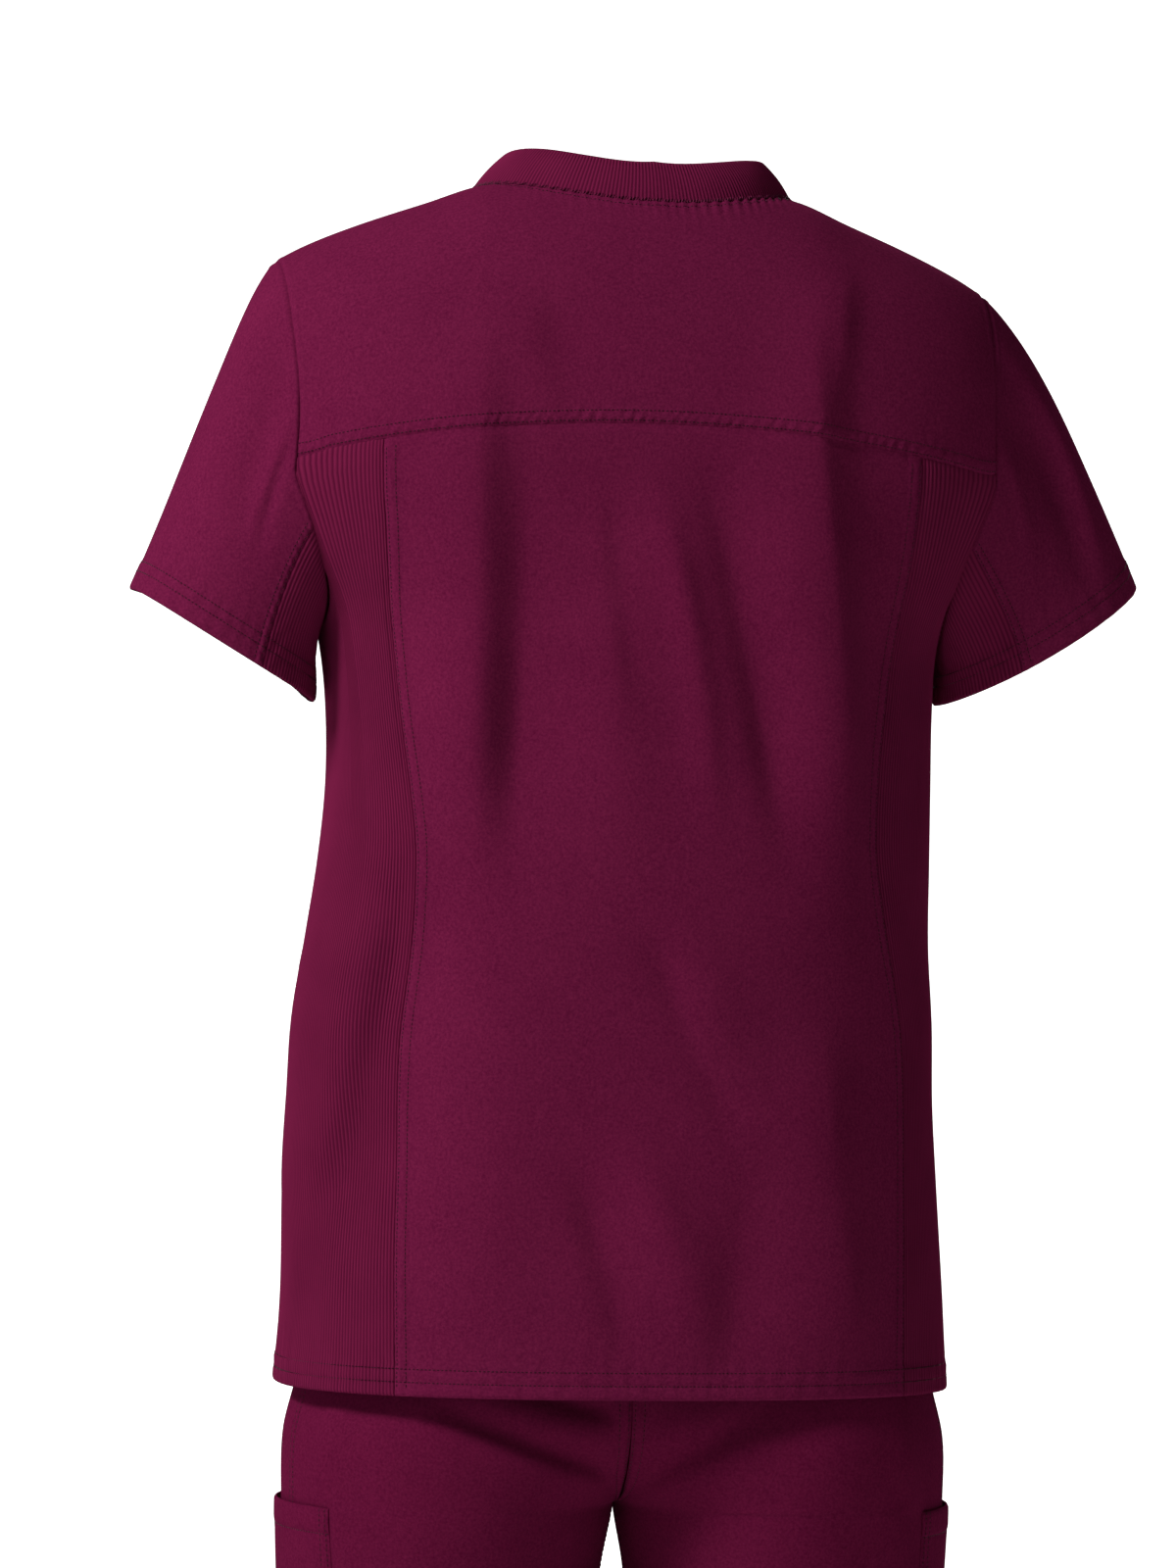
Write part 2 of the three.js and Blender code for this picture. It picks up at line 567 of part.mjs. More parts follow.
// Shifts a point of the top along X.
function settle(vector) {
  let shift = 0;
  for (const { x, z, wide, high, shift: amount } of SHIFTS) {
    shift += amount * Math.exp(-(((vector.x - x) / wide) ** 2) - ((vector.z - z) / high) ** 2);
  }
  vector.x += shift;
  return vector;
}

const cellOf = ({ point, normal }) => ({ point, offset: normal.clone().multiplyScalar(WALL) });

// A cell of a body panel on the armhole seam, on the named edge of its grid.
function armholeCell(side, face, place, edge) {
  const index = ringIndex(face, place);
  const { point } = armholePoint(side, face, place);
  const way = armholeWay(side, index, false);
  return { point, offset: armholeOffset(side, index), way, wayEdge: edge };
}

// ---------------------------------------------------------------- pieces of the top

const mirrored = (half) => [...half.slice(1).reverse().map((value) => -value), ...half];
const steps = (count) => Array.from({ length: count + 1 }, (_, i) => i / count);

const YOKE_COLUMNS = mirrored([...BACK_COLUMNS, ...SIDE_COLUMNS.slice(1)]);

function yokeCells() {
  const places = [...ARMHOLE_HIGH.slice(1), SHOULDER_PLACE];
  const low = heightOfPlace(YOKE_PLACE);
  const high = heightOfPlace(SHOULDER_PLACE);
  return YOKE_COLUMNS.map((seamX) => {
    const share = seamX / ARMHOLE_X;
    const side = Math.sign(seamX) || 1;
    const inNeck = Math.abs(seamX) < NECK_HALF;
    const atNeckX = inNeck ? seamX : share * (ARMHOLE_X + 2);
    const end = inNeck ? backNeckHeight(atNeckX) : high;
    const start = yokeHeight(seamX);
    return places.map((place) => {
      if (Math.abs(seamX) === ARMHOLE_X) {
        return armholeCell(side, 1, place, side > 0 ? 'last' : 'first');
      }
      const along = (heightOfPlace(place) - low) / (high - low);
      const x = mix(seamX, inNeck || Math.abs(seamX) === NECK_HALF ? seamX : atNeckX, along);
      return cellOf(bodyPoint(x, mix(start, end, along), 1));
    });
  });
}

// Distance of a back seam from the middle, led to its corner on the yoke.
function backSeamX(side, z) {
  const x = between(BACK_SEAM, 'z', z, side > 0 ? 'left' : 'right');
  return mix(x, 162, clamp((z + 200) / 45, 0, 1));
}

function backPanelCells() {
  return mirrored(BACK_COLUMNS).map((seamX) => {
    const top = yokeHeight(seamX);
    const topZ = bodyPoint(seamX, top, 1).point.z;
    const share = seamX / 162;
    return steps(BODY_ROWS).map((along) => {
      if (along === 1) return cellOf(bodyPoint(seamX, top, 1));
      const z = mix(HEM, topZ, along);
      const x = mix(-backSeamX(-1, z), backSeamX(1, z), (share + 1) / 2);
      const height = z <= SPRING ? z : SPRING + ARCH_SCALE
        * Math.asin(clamp((z - SPRING) / (ridge(x) - SPRING), 0, 1) ** (ARCH_POWER / 2));
      return cellOf(bodyPoint(x, height, 1));
    });
  });
}

// Distance of the front seam from the middle: the table, led to its corner on
// the armhole.
function frontSeamX(z, corner) {
  const level = Math.min(z, corner.z);
  const lift = clamp((level + 300) / (corner.z + 300), 0, 1);
  const miss = Math.abs(corner.x) - between(FRONT_SEAM, 'z', corner.z, 'x');
  return between(FRONT_SEAM, 'z', level, 'x') + miss * lift ** 3;
}

// Columns of a side panel stand upright and end where they meet the yoke seam
// or the armhole.
function sidePanelCells(side) {
  const turn = (angle) => (side > 0 ? angle : (angle < 0 ? angle + 2 * Math.PI : angle));
  const frontTop = armholePoint(side, -1, GUSSET_PLACE).point;
  const frontAngle = (z) => {
    const x = side * frontSeamX(z, frontTop);
    return turn(Math.atan2(-ringDepth(x, Math.min(z, frontTop.z), -1), x));
  };
  const backAngle = (z) => {
    const x = side * backSeamX(side, z);
    return turn(Math.atan2(ringDepth(x, Math.min(z, SPRING), 1), x));
  };
  const tops = [];
  for (const seamX of SIDE_COLUMNS.slice(0, -1)) {
    const at = bodyPoint(side * seamX, yokeHeight(side * seamX), 1);
    tops.push({ cell: cellOf(at), z: at.point.z, angle: turn(Math.atan2(at.point.y, at.point.x)) });
  }
  const armhole = [
    ...[...ARMHOLE_LOW, 0.92, YOKE_PLACE].reverse().map((place) => ({ face: 1, place })),
    ...ARMHOLE_LOW.slice(1).map((place) => ({ face: -1, place })),
  ];
  for (const { face, place } of armhole) {
    const cell = armholeCell(side, face, place, 'top');
    if (place === YOKE_PLACE) cell.way.z -= 1;
    const { x, y, z } = cell.point;
    tops.push({ cell, z, angle: turn(Math.atan2(y, x)) });
  }
  return tops.map((top, index) => {
    const back = backAngle(top.z);
    const front = frontAngle(top.z);
    let share = (top.angle - back) / (front - back);
    if (index === 0) share = 0;
    if (index === tops.length - 1) share = 1;
    const hemShare = share * (SIDE_FAN[index] ?? 1);
    return steps(BODY_ROWS).map((along) => {
      if (along === 1) return top.cell;
      const z = mix(HEM, top.z, along);
      let angle = mix(backAngle(z), frontAngle(z), mix(hemShare, share, along ** 4));
      if (angle > Math.PI) angle -= 2 * Math.PI;
      return cellOf(sidePoint(angle, z));
    });
  });
}

function frontPanelCells() {
  const places = [...ARMHOLE_HIGH];
  const seamZ = { '1': armholePoint(1, -1, GUSSET_PLACE), '-1': armholePoint(-1, -1, GUSSET_PLACE) };
  const high = heightOfPlace(4 - SHOULDER_PLACE);
  return YOKE_COLUMNS.map((seamX) => {
    const share = seamX / ARMHOLE_X;
    const side = Math.sign(seamX) || 1;
    const corner = seamZ[side].point;
    const middleZ = (seamZ[1].point.z + seamZ[-1].point.z) / 2;
    const levelZ = mix(middleZ, corner.z, Math.abs(share));
    const inNeck = Math.abs(seamX) < NECK_HALF;
    const end = inNeck ? frontNeckHeight(seamX) : high;
    const lower = steps(BODY_ROWS).map((along) => {
      const z = mix(HEM, levelZ, along);
      const edgeZ = mix(HEM, corner.z, along);
      const edgeX = frontSeamX(edgeZ, corner);
      if (Math.abs(seamX) === ARMHOLE_X) {
        const angle = Math.atan2(-ringDepth(side * edgeX, edgeZ, -1), side * edgeX);
        if (along === 1) return armholeCell(side, -1, GUSSET_PLACE, side > 0 ? 'last' : 'first');
        return cellOf(sidePoint(angle, edgeZ));
      }
      return cellOf(bodyPoint(share * edgeX, z, -1));
    });
    const edgeTopX = (place) => ARMHOLE_X + 2 * Math.max(0, place - 1);
    const upper = places.map((place) => {
      if (Math.abs(seamX) === ARMHOLE_X) {
        return armholeCell(side, -1, place, side > 0 ? 'last' : 'first');
      }
      const edge = armholePoint(side, -1, place).point;
      const edgeHeight = place >= 1 ? heightOfPlace(place) : edge.z;
      const along = (edgeHeight - corner.z) / (high - corner.z);
      const wide = place >= 1 ? edgeTopX(place) : Math.abs(edge.x);
      const straight = Math.abs(seamX) <= NECK_HALF ? seamX : share * wide;
      const x = mix(share * wide, straight, smooth(clamp(along, 0, 1)));
      return cellOf(bodyPoint(x, mix(levelZ, end, along), -1));
    });
    return [...lower, ...upper];
  });
}

// The rib band round the neck: it stands on the neck seam at the back and lies
// in the slope of the chest down the front V.
function collarCells() {
  const inside = mirrored(BACK_COLUMNS.filter((x) => x <= NECK_HALF));
  const ring = [
    ...inside.map((x) => ({ x, face: 1 })),
    ...inside.slice(1, -1).reverse().map((x) => ({ x, face: -1 })),
  ];
  const bases = ring.map(({ x, face }) => {
    const corner = Math.abs(x) === NECK_HALF;
    const height = corner ? heightOfPlace(SHOULDER_PLACE)
      : face > 0 ? backNeckHeight(x) : frontNeckHeight(x);
    return bodyPoint(x, height, corner ? 1 : face).point;
  });
  const edges = ring.map(({ x, face }, i) => {
    const base = bases[i];
    const aside = Math.abs(x) / NECK_HALF;
    const edge = new THREE.Vector3(x * COLLAR_LEAN, 0, 0);
    if (face > 0) {
      edge.y = mix(base.y - 13, base.y + 4, aside ** 2);
      edge.z = base.z + COLLAR_RISE - 3 * aside;
      return edge;
    }
    const rise = mix(COLLAR_V_RISE, COLLAR_RISE - 3, Math.min(1, aside * 1.6));
    edge.z = base.z + rise;
    const share = clamp((edge.z - SPRING) / (ridge(edge.x) - SPRING), 0, 0.95);
    const chest = -ringDepth(edge.x, SPRING, -1) * bulge(share, ARCH_POWER);
    const standing = smooth(clamp((base.z + 75) / 70, 0, 1));
    edge.y = mix(chest - 1, base.y + 4, standing);
    return edge;
  });
  const count = ring.length;
  return ring.map((_, i) => {
    const round = bases[(i + 1) % count].clone().sub(bases[(i + count - 1) % count]);
    const rise = edges[i].clone().sub(bases[i]);
    const normal = round.cross(rise).normalize();
    const centre = new THREE.Vector3(0, 0, -20);
    if (normal.dot(bases[i].clone().sub(centre)) < 0) normal.negate();
    const start = bases[i].clone().addScaledVector(rise.clone().normalize(), 0.5);
    return [0, 0.5, 1].map((t) => {
      const point = start.clone().lerp(edges[i], t);
      point.addScaledVector(normal, 1.2 * Math.sin(Math.PI * t));
      return { point, offset: normal.clone().multiplyScalar(WALL) };
    });
  });
}

function sleeveCells(side, wanted) {
  const { grid, normals } = SLEEVE[side];
  return wanted.map((index) => grid[index].map((point, row) => ({
    point: point.clone(),
    offset: row === 0 ? armholeOffset(side, index)
      : normals[index][row].clone().multiplyScalar(WALL),
    way: armholeWay(side, index, true),
    wayEdge: 'bottom',
  })));
}

const FIRST = ringIndex(1, GUSSET_PLACE);
const LAST = ringIndex(-1, GUSSET_PLACE);
const SLEEVE_COLUMNS = Array.from({ length: LAST - FIRST + 1 }, (_, i) => FIRST + i);
const GUSSET_COLUMNS = [
  ...Array.from({ length: ARMHOLE_RING.length - LAST }, (_, i) => LAST + i),
  ...Array.from({ length: FIRST + 1 }, (_, i) => i),
];

// ---------------------------------------------------------------- trousers

// How far the crotch seam lies from the middle of the leg's depth, 0 at the
// crotch and 1 where the seat is closed.
function crotchShare(z, face) {
  const rise = face > 0 ? CROTCH_RISE.back : CROTCH_RISE.front;
  const share = clamp((z - CROTCH) / rise, 0, 1);
  return 0.985 * bulge(1 - share, 2.2);
}

function legFold(name, angle, z) {
  let sum = 0;
  const degrees = angle / RAD;
  for (const fold of LEG_FOLDS) {
    if (fold.side !== name) continue;
    const ax = 1.5 * (fold.angle1 - fold.angle0);
    const az = fold.z1 - fold.z0;
    const px = 1.5 * (degrees - fold.angle0);
    const pz = z - fold.z0;
    const length = Math.hypot(ax, az);
    const along = (px * ax + pz * az) / (length * length);
    if (along <= 0 || along >= 1) continue;
    const across = (px * az - pz * ax) / length / fold.width;
    sum += fold.height * Math.sin(Math.PI * along) * Math.exp(-across * across);
  }
  return sum;
}

// A point of one trouser leg. The share runs from the side seam (0) to the
// inside seam, or above the crotch to the seam at the middle (1). The cut
// keeps that seam a hair off the middle.
function legPoint(side, angleDegrees, z, cut = SEAM_GAP / 2) {
  const name = side > 0 ? 'left' : 'right';
  const face = angleDegrees >= 0 ? 1 : -1;
  const centre = between(LEG_RINGS, 'z', z, 'centre');
  const outer = between(LEG_RINGS, 'z', z, 'outer');
  const depth = between(LEG_RINGS, 'z', z, face > 0 ? 'back' : 'front');
  let inner = between(LEG_RINGS, 'z', z, 'inner');
  let end = Math.PI;
  if (z > CROTCH - 0.01) {
    const share = crotchShare(z, face);
    inner = (centre - cut) / bulge(share, LEG_POWER);
    end = Math.atan2(share * depth, -(centre - cut));
  }
  const asked = Math.abs(angleDegrees) * RAD;
  const turnStart = SIDE_SEAM_ANGLE * RAD;
  const spread = face > 0 ? (asked - turnStart) / (Math.PI - turnStart) : asked / Math.PI;
  const angle = face > 0 ? turnStart + (end - turnStart) * spread : end * spread;
  const cosine = Math.cos(angle);
  const sine = Math.sin(angle);
  const half = cosine >= 0 ? outer : inner;
  const radius = ((Math.abs(cosine) / half) ** LEG_POWER
    + (Math.abs(sine) / depth) ** LEG_POWER) ** (-1 / LEG_POWER);
  const x = centre + radius * cosine;
  const y = radius * sine;
  const normal = new THREE.Vector3(
    signedPower(cosine * radius / half, LEG_POWER - 1) / half,
    signedPower(sine * radius / depth, LEG_POWER - 1) / depth,
    0,
  ).normalize();
  normal.y *= face;
  const point = new THREE.Vector3(x, y * face, z);
  const quiet = z > CROTCH ? 1 - smooth(clamp(spread, 0, 1)) : 1;
  point.addScaledVector(normal, legFold(name, angleDegrees * RAD, z) * quiet);
  point.x *= side;
  normal.x *= side;
  return { point, normal };
}

function trouserCells(side, angles) {
  return angles.map((angle) => TROUSER_LEVELS.map((z) => cellOf(legPoint(side, angle, z))));
}

function waistbandCells() {
  const back = [...BACK_ANGLES];
  const front = [...FRONT_ANGLES];
  const half = (side) => [
    ...front.slice(0, -1).reverse().map((angle) => ({ side, angle })),
    ...back.slice(1).map((angle) => ({ side, angle })),
  ];
  const ring = [
    { side: 1, angle: -180 },
    ...half(1),
    ...half(-1).slice(0, -1).reverse(),
  ];
  return ring.map(({ side, angle }) => WAIST_LEVELS.map((z) => {
    const at = legPoint(side, angle, z, 0);
    if (Math.abs(angle) === 180) at.normal.set(0, Math.sign(angle), 0);
    return cellOf(at);
  }));
}

// A cargo pocket: points of the leg's own grid, moved out, fuller at the mouth.
function pocketCells(side) {
  const angles = [
    ...BACK_ANGLES.filter((angle) => angle <= POCKET_BACK_ANGLE).reverse(),
    ...FRONT_ANGLES.slice(1).filter((angle) => angle >= POCKET_FRONT_ANGLE),
  ];
  const levels = TROUSER_LEVELS.filter((z) => z <= POCKET_TOP && z >= POCKET_BOTTOM);
  return angles.map((angle, i) => levels.map((z, j) => {
    const at = legPoint(side, angle, z);
    const across = Math.sin(Math.PI * i / (angles.length - 1));
    const down = 1 - (j / (levels.length - 1)) ** 2;
    const lift = SEAM_GAP + WALL + POCKET_FULLNESS * across * down;
    at.point.addScaledVector(at.normal, lift);
    return cellOf(at);
  }));
}

// ---------------------------------------------------------------- the object

const WOVEN = 0x5d1636;
const RIB = 0x581232;

function piece(name, geometry, colour) {
  const material = new THREE.MeshStandardMaterial({ color: colour, roughness: 0.8, metalness: 0 });
  material.side = THREE.FrontSide;
  const mesh = new THREE.Mesh(geometry, material);
  mesh.name = name;
  return mesh;
}

const scrubs = new THREE.Group();
scrubs.name = 'medical_scrubs';

scrubs.add(piece('collar', wallGeometry(collarCells(), { closed: true, settle }), RIB));
scrubs.add(piece('yoke', wallGeometry(yokeCells(), { seams: ['first', 'last', 'bottom', 'top'], settle }), WOVEN));
scrubs.add(piece('back_panel', wallGeometry(backPanelCells(), { seams: ['first', 'last', 'top'], settle }), WOVEN));
scrubs.add(piece('front_panel', wallGeometry(frontPanelCells(), { seams: ['first', 'last', 'top'], settle }), WOVEN));
for (const [name, side] of [['left', 1], ['right', -1]]) {
  scrubs.add(piece(`side_panel_${name}`,
    wallGeometry(sidePanelCells(side), { seams: ['first', 'last', 'top'], settle }), RIB));
  scrubs.add(piece(`sleeve_${name}`,
    wallGeometry(sleeveCells(side, SLEEVE_COLUMNS), { seams: ['first', 'last', 'bottom'], settle }), WOVEN));
  scrubs.add(piece(`sleeve_gusset_${name}`,
    wallGeometry(sleeveCells(side, GUSSET_COLUMNS), { seams: ['first', 'last', 'bottom'], settle }), RIB));
}

const trousers = new THREE.Group();
trousers.name = 'trousers';
trousers.position.x = TROUSER_SHIFT;
trousers.rotation.z = TROUSER_TURN * RAD;
trousers.add(piece('waistband', wallGeometry(waistbandCells(), { closed: true, seams: ['top'] }), WOVEN));
for (const [name, side] of [['left', 1], ['right', -1]]) {
  trousers.add(piece(`trouser_back_${name}`,
    wallGeometry(trouserCells(side, BACK_ANGLES), { seams: ['first', 'last', 'bottom'] }), WOVEN));
  trousers.add(piece(`trouser_front_${name}`,
    wallGeometry(trouserCells(side, FRONT_ANGLES), { seams: ['first', 'last', 'bottom'] }), WOVEN));
  trousers.add(piece(`cargo_pocket_${name}`, wallGeometry(pocketCells(side)), WOVEN));
}
scrubs.add(trousers);

export default scrubs;
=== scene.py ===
import math

import bpy
import numpy as np
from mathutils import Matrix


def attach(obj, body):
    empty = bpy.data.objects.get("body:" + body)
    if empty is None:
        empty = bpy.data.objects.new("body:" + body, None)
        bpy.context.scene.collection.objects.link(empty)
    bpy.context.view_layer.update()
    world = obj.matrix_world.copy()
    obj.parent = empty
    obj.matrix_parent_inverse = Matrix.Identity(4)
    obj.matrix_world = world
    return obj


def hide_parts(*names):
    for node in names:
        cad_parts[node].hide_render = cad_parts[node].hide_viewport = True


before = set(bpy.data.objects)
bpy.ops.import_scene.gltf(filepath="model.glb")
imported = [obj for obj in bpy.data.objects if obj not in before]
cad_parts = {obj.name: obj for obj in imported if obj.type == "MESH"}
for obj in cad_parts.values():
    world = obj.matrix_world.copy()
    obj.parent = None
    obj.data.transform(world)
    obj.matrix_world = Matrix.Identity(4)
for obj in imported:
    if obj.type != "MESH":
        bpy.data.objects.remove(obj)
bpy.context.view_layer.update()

# Medical scrubs, a top over cargo trousers, as worn. Sizes are in mm and become
# metres when a mesh is made. The front faces -Y and the left sleeve lies toward +X.
# Every cut piece is a grid of points from a formula of two parameters, with an
# outer face, an inner face one cloth thickness behind it, and a rim.

# Sizes


def table(names, rows):
    """Columns of a table by name."""
    columns = zip(*rows)
    return {name: np.array(column, float) for name, column in zip(names.split(), columns)}


# The top, as level rings: half width toward +X and -X, depth of back and front.
TOP_RINGS = table("z left right back front", [
    (-175, 243, 245, 118.0, 114),
    (-202, 225, 230, 118.5, 114),
    (-221, 211, 217, 119.0, 115),
    (-250, 190, 198, 119.0, 115),
    (-270, 183, 190, 119.0, 115),
    (-308, 178, 188, 118.0, 114),
    (-355, 177, 188, 117.0, 113),
    (-402, 181, 188, 117.0, 113),
    (-450, 188, 188, 118.0, 113),
    (-497, 195, 191, 119.0, 114),
    (-544, 197, 192, 121.0, 116),
    (-591, 199, 195, 124.0, 118),
    (-662, 199, 200, 130.0, 121),
    (-715, 202, 203, 133.0, 123),
])
HEM = -715
# Height where the wall starts to arch over the shoulder, the squareness of a ring and
# of the arch, and the length of arch that stands for one radian.
SPRING = -175
RING_POWER = 2.4
ARCH_POWER = 2.35
ARCH_SCALE = 121
SHOULDER_TILT = 0.02

# Crest of the shoulder: height at each distance from the middle.
RIDGE = table("x z", [
    (0, 11), (50, 8.5), (97, 0), (127, -11.5), (165, -26), (196, -39.6), (216, -51), (245, -72),
])
ARMHOLE_X = 213
UNDERARM = {1: -263, -1: -272}
UNDERARM_POWER = 2.2
NECK_HALF = 97
NECK_BACK = 62
V_POINT = -150
YOKE_MIDDLE = -143
YOKE_DROP = 23
YOKE_CORNER = 162
COLLAR_RISE = {"back": 25, "point": 34, "side": 22}
COLLAR_CLOTH = 1.6

# Seams of the rib side panels: distance from the middle at each height.
BACK_SEAM = table("z left right", [
    (-150, 163, 163),
    (-220, 157, 159),
    (-300, 147, 149),
    (-385, 137, 142),
    (-430, 139, 147),
    (-507, 147, 160),
    (-600, 147, 162),
    (-715, 146, 161),
])
FRONT_SEAM = table("z x", [
    (-206, 199), (-262, 166), (-320, 152), (-400, 143), (-507, 150), (-715, 150),
])

# Places along the armhole: 0 at the underarm, 1 at the spring of the arch, 2 on
# the crest of the shoulder, then on to 4 at the underarm again, down the front.
GUSSET_PLACE = 0.79
YOKE_PLACE = 1.03
SHOULDER_PLACE = 2.08

# Folds of the top, each a line on one face from (x0, z0) to (x1, z1): how far it
# bows sideways, its half width toward +X and toward -X, and its height.
TOP_FOLDS = [
    (1, 104, -60, 102, -440, 4, 36, 14, 6.5),
    (1, 74, -130, 78, -450, 3, 16, 60, -7.5),
    (1, 32, -190, 20, -420, 0, 30, 22, 3.0),
    (1, 8, -150, -40, -400, -6, 13, 9, 3.2),
    (1, 30, -160, 4, -330, 4, 7, 12, -1.4),
    (1, -22, -140, -88, -430, -5, 13, 22, -6.0),
    (1, -86, -50, -120, -490, -4, 40, 12, 10.0),
    (1, -116, -90, -150, -480, -5, 12, 28, -4.0),
    (1, 156, -370, 210, -660, -4, 22, 12, 3.5),
    (1, 134, -370, 196, -665, -4, 9, 34, -8.0),
    (1, 8, -430, -62, -590, -4, 11, 17, -4.2),
    (1, -8, -420, -60, -590, 0, 12, 20, 3.6),
    (1, 22, -540, -38, -700, -3, 16, 19, 4.0),
    (1, 50, -560, 8, -710, -3, 11, 15, -3.4),
    (1, -96, -470, -126, -740, -4, 36, 18, 6.0),
    (1, -70, -560, -44, -735, 3, 16, 22, -2.8),
    (1, 92, -470, 98, -735, 3, 42, 30, 3.2),
    (1, 66, -40, 44, -160, 2, 14, 34, -2.2),
    (1, -118, -30, -96, -170, 2, 26, 12, 3.4),
    (-1, 100, -120, 92, -420, 8, 24, 18, 5.5),
    (-1, 40, -190, 52, -560, -6, 20, 28, -4.0),
    (-1, -8, -180, 10, -640, 9, 30, 20, 4.0),
    (-1, -96, -120, -84, -470, -7, 18, 24, 6.0),
    (-1, -50, -300, -60, -725, 6, 30, 22, -3.5),
    (-1, 110, -460, 96, -725, -4, 30, 22, 4.0),
    (-1, 70, -210, 20, -420, 4, 12, 16, 2.5),
    (-1, -120, -400, -60, -560, 5, 14, 18, 2.6),
]

# Cuffs: outer and inner end, half depth of the ring, sag of its edge, lift of its
# front, and how level the sleeve leaves the shoulder.
CUFF = {
    1: dict(outer=(298, -243.5), inner=(187, -309), half_depth=51, sag=2.5, lift=14, level=0.22),
    -1: dict(outer=(316, -229.5), inner=(194, -304), half_depth=51, sag=5, lift=0, level=0.34),
}

# Soft shifts of the top along X, each about a point (x, z), with its half widths.
SHIFTS = [
    (0, 0, 125, 75, -6),
    (208, -135, 34, 58, -6),
]
GUSSET_CUFF_ANGLE = -19

# Folds of the sleeves: side, place round the armhole, start and end along the
# sleeve from 0 to 1, half width in places, height.
SLEEVE_FOLDS = [
    (1, 1.62, 0.00, 0.75, 0.16, 2.6),
    (1, 1.25, 0.00, 0.70, 0.14, -2.6),
    (1, 1.06, 0.04, 0.62, 0.05, -2.0),
    (1, 1.15, 0.00, 0.55, 0.05, 1.6),
    (1, 1.86, 0.00, 0.45, 0.05, 1.2),
    (-1, 1.28, 0.00, 0.90, 0.12, -4.5),
    (-1, 1.48, 0.02, 1.05, 0.09, 3.4),
    (-1, 1.66, 0.05, 1.10, 0.14, 3.0),
    (-1, 1.08, 0.00, 0.60, 0.06, 1.8),
    (1, 2.60, 0.00, 0.80, 0.18, 3.0),
    (-1, 2.60, 0.00, 0.80, 0.18, 3.5),
]

# One trouser leg: centre line, half widths away from and toward the other leg,
# depths to the back and the front.
LEG_RINGS = table("z centre outer inner back front", [
    (-520, 84, 78, 88, 80, 78),
    (-560, 86, 83, 90, 86, 82),
    (-620, 90, 88, 92, 92, 87),
    (-680, 94, 92.5, 95, 100, 93),
    (-712, 96, 95.5, 97, 105, 98),
    (-745, 99, 100, 99, 112, 103),
    (-785, 101, 98.5, 100.8, 108, 102),
    (-827, 102.5, 96, 95.1, 102, 98),
    (-900, 103, 91, 90, 95, 93),
    (-1000, 105, 84, 84, 87, 86),
    (-1150, 108, 78, 78, 79, 80),
    (-1300, 111, 74, 74, 76, 76),
    (-1450, 113, 72, 72, 73, 73),
    (-1548, 114, 71, 71, 73, 72),
])
LEG_POWER = 2.02
CROTCH = -785
CROTCH_RISE = {1: 92, -1: 118}
TROUSER_TURN = -4
TROUSER_SHIFT = -3
SIDE_SEAM_ANGLE = 16

# Folds of the trousers: side, angle round the leg and height at both ends, half
# width, height.
LEG_FOLDS = [
    (1, 212, -780, 98, -718, 8, -8),
    (1, 212, -742, 128, -704, 7, -6),
    (1, 60, -700, 40, -830, 14, 3),
    (-1, 206, -796, 128, -716, 10, -6),
    (-1, 70, -705, 48, -860, 14, 3),
    (1, 70, -1080, 130, -1140, 20, 4),
    (-1, 120, -1080, 60, -1150, 20, 4),
    (1, -60, -1420, -130, -1465, 18, 4),
    (-1, -130, -1410, -60, -1460, 18, 4),
]

POCKET_TOP = -785
POCKET_LENGTH = 200
POCKET_BACK_ANGLE = {1: 45, -1: 41}
POCKET_FRONT_ANGLE = -70
WAIST = (-520, -560)
ANKLE = -1548

# Thickness of a made-up edge, and the ribs: width, height, and section from groove to
# groove.
CLOTH = 0.9
RIB_PITCH = 2.3
RIB_HEIGHT = 0.55
RIB_SECTION = (0.0, 0.6, 1.0, 0.6)
GUSSET_RIBS = 62

# Distances of the stitch lines from an edge, and a close row of points near a seam.
SEAM_LINES = (1.8, 7.4)
SLEEVE_LINES = (1.8, 6.4)
HEM_LINES = (8.3, 16)
CUFF_LINES = (11.3, 17.5)
ANKLE_LINES = (20, 26)
POCKET_LINES = (2, 7)
POCKET_HEM = 15.3
NEAR = (0.7, 1.4, 2.2, 3.4, 5.0, 6.6, 7.6, 8.5, 9.4, 10.6)

# Helpers


def smooth(value):
    """A ramp from 0 to 1 with level ends."""
    value = np.clip(value, 0, 1)
    return value * value * (3 - 2 * value)


def mix(a, b, share):
    """The value a share of the way from a to b."""
    return a + (b - a) * share


def unit(vectors):
    """Vectors scaled to length one."""
    return vectors / np.maximum(np.linalg.norm(vectors, axis=-1, keepdims=True), 1e-9)


def between(rows, key, at, column):
    """A column of a table at a key, by cubic pieces whose slope at a row is the rise
    between its two neighbours over their distance."""
    keys, values = rows[key], rows[column]
    if keys[0] > keys[-1]:
        keys, values = keys[::-1], values[::-1]
    low = np.r_[0, np.arange(len(keys) - 1)]
    high = np.r_[np.arange(1, len(keys)), len(keys) - 1]
    slope = (values[high] - values[low]) / (keys[high] - keys[low])
    at = np.clip(at, keys[0], keys[-1])
    i = np.clip(np.searchsorted(keys, at, side="right") - 1, 0, len(keys) - 2)
    span = keys[i + 1] - keys[i]
    t = (at - keys[i]) / span
    return ((2 * t**3 - 3 * t**2 + 1) * values[i] + (t**3 - 2 * t**2 + t) * span * slope[i]
            + (3 * t**2 - 2 * t**3) * values[i + 1] + (t**3 - t**2) * span * slope[i + 1])


def bulge(share, power):
    """Ordinate of a superellipse: 1 in the middle, 0 at the end."""
    return (1 - np.minimum(1, np.abs(share)) ** power) ** (1 / power)


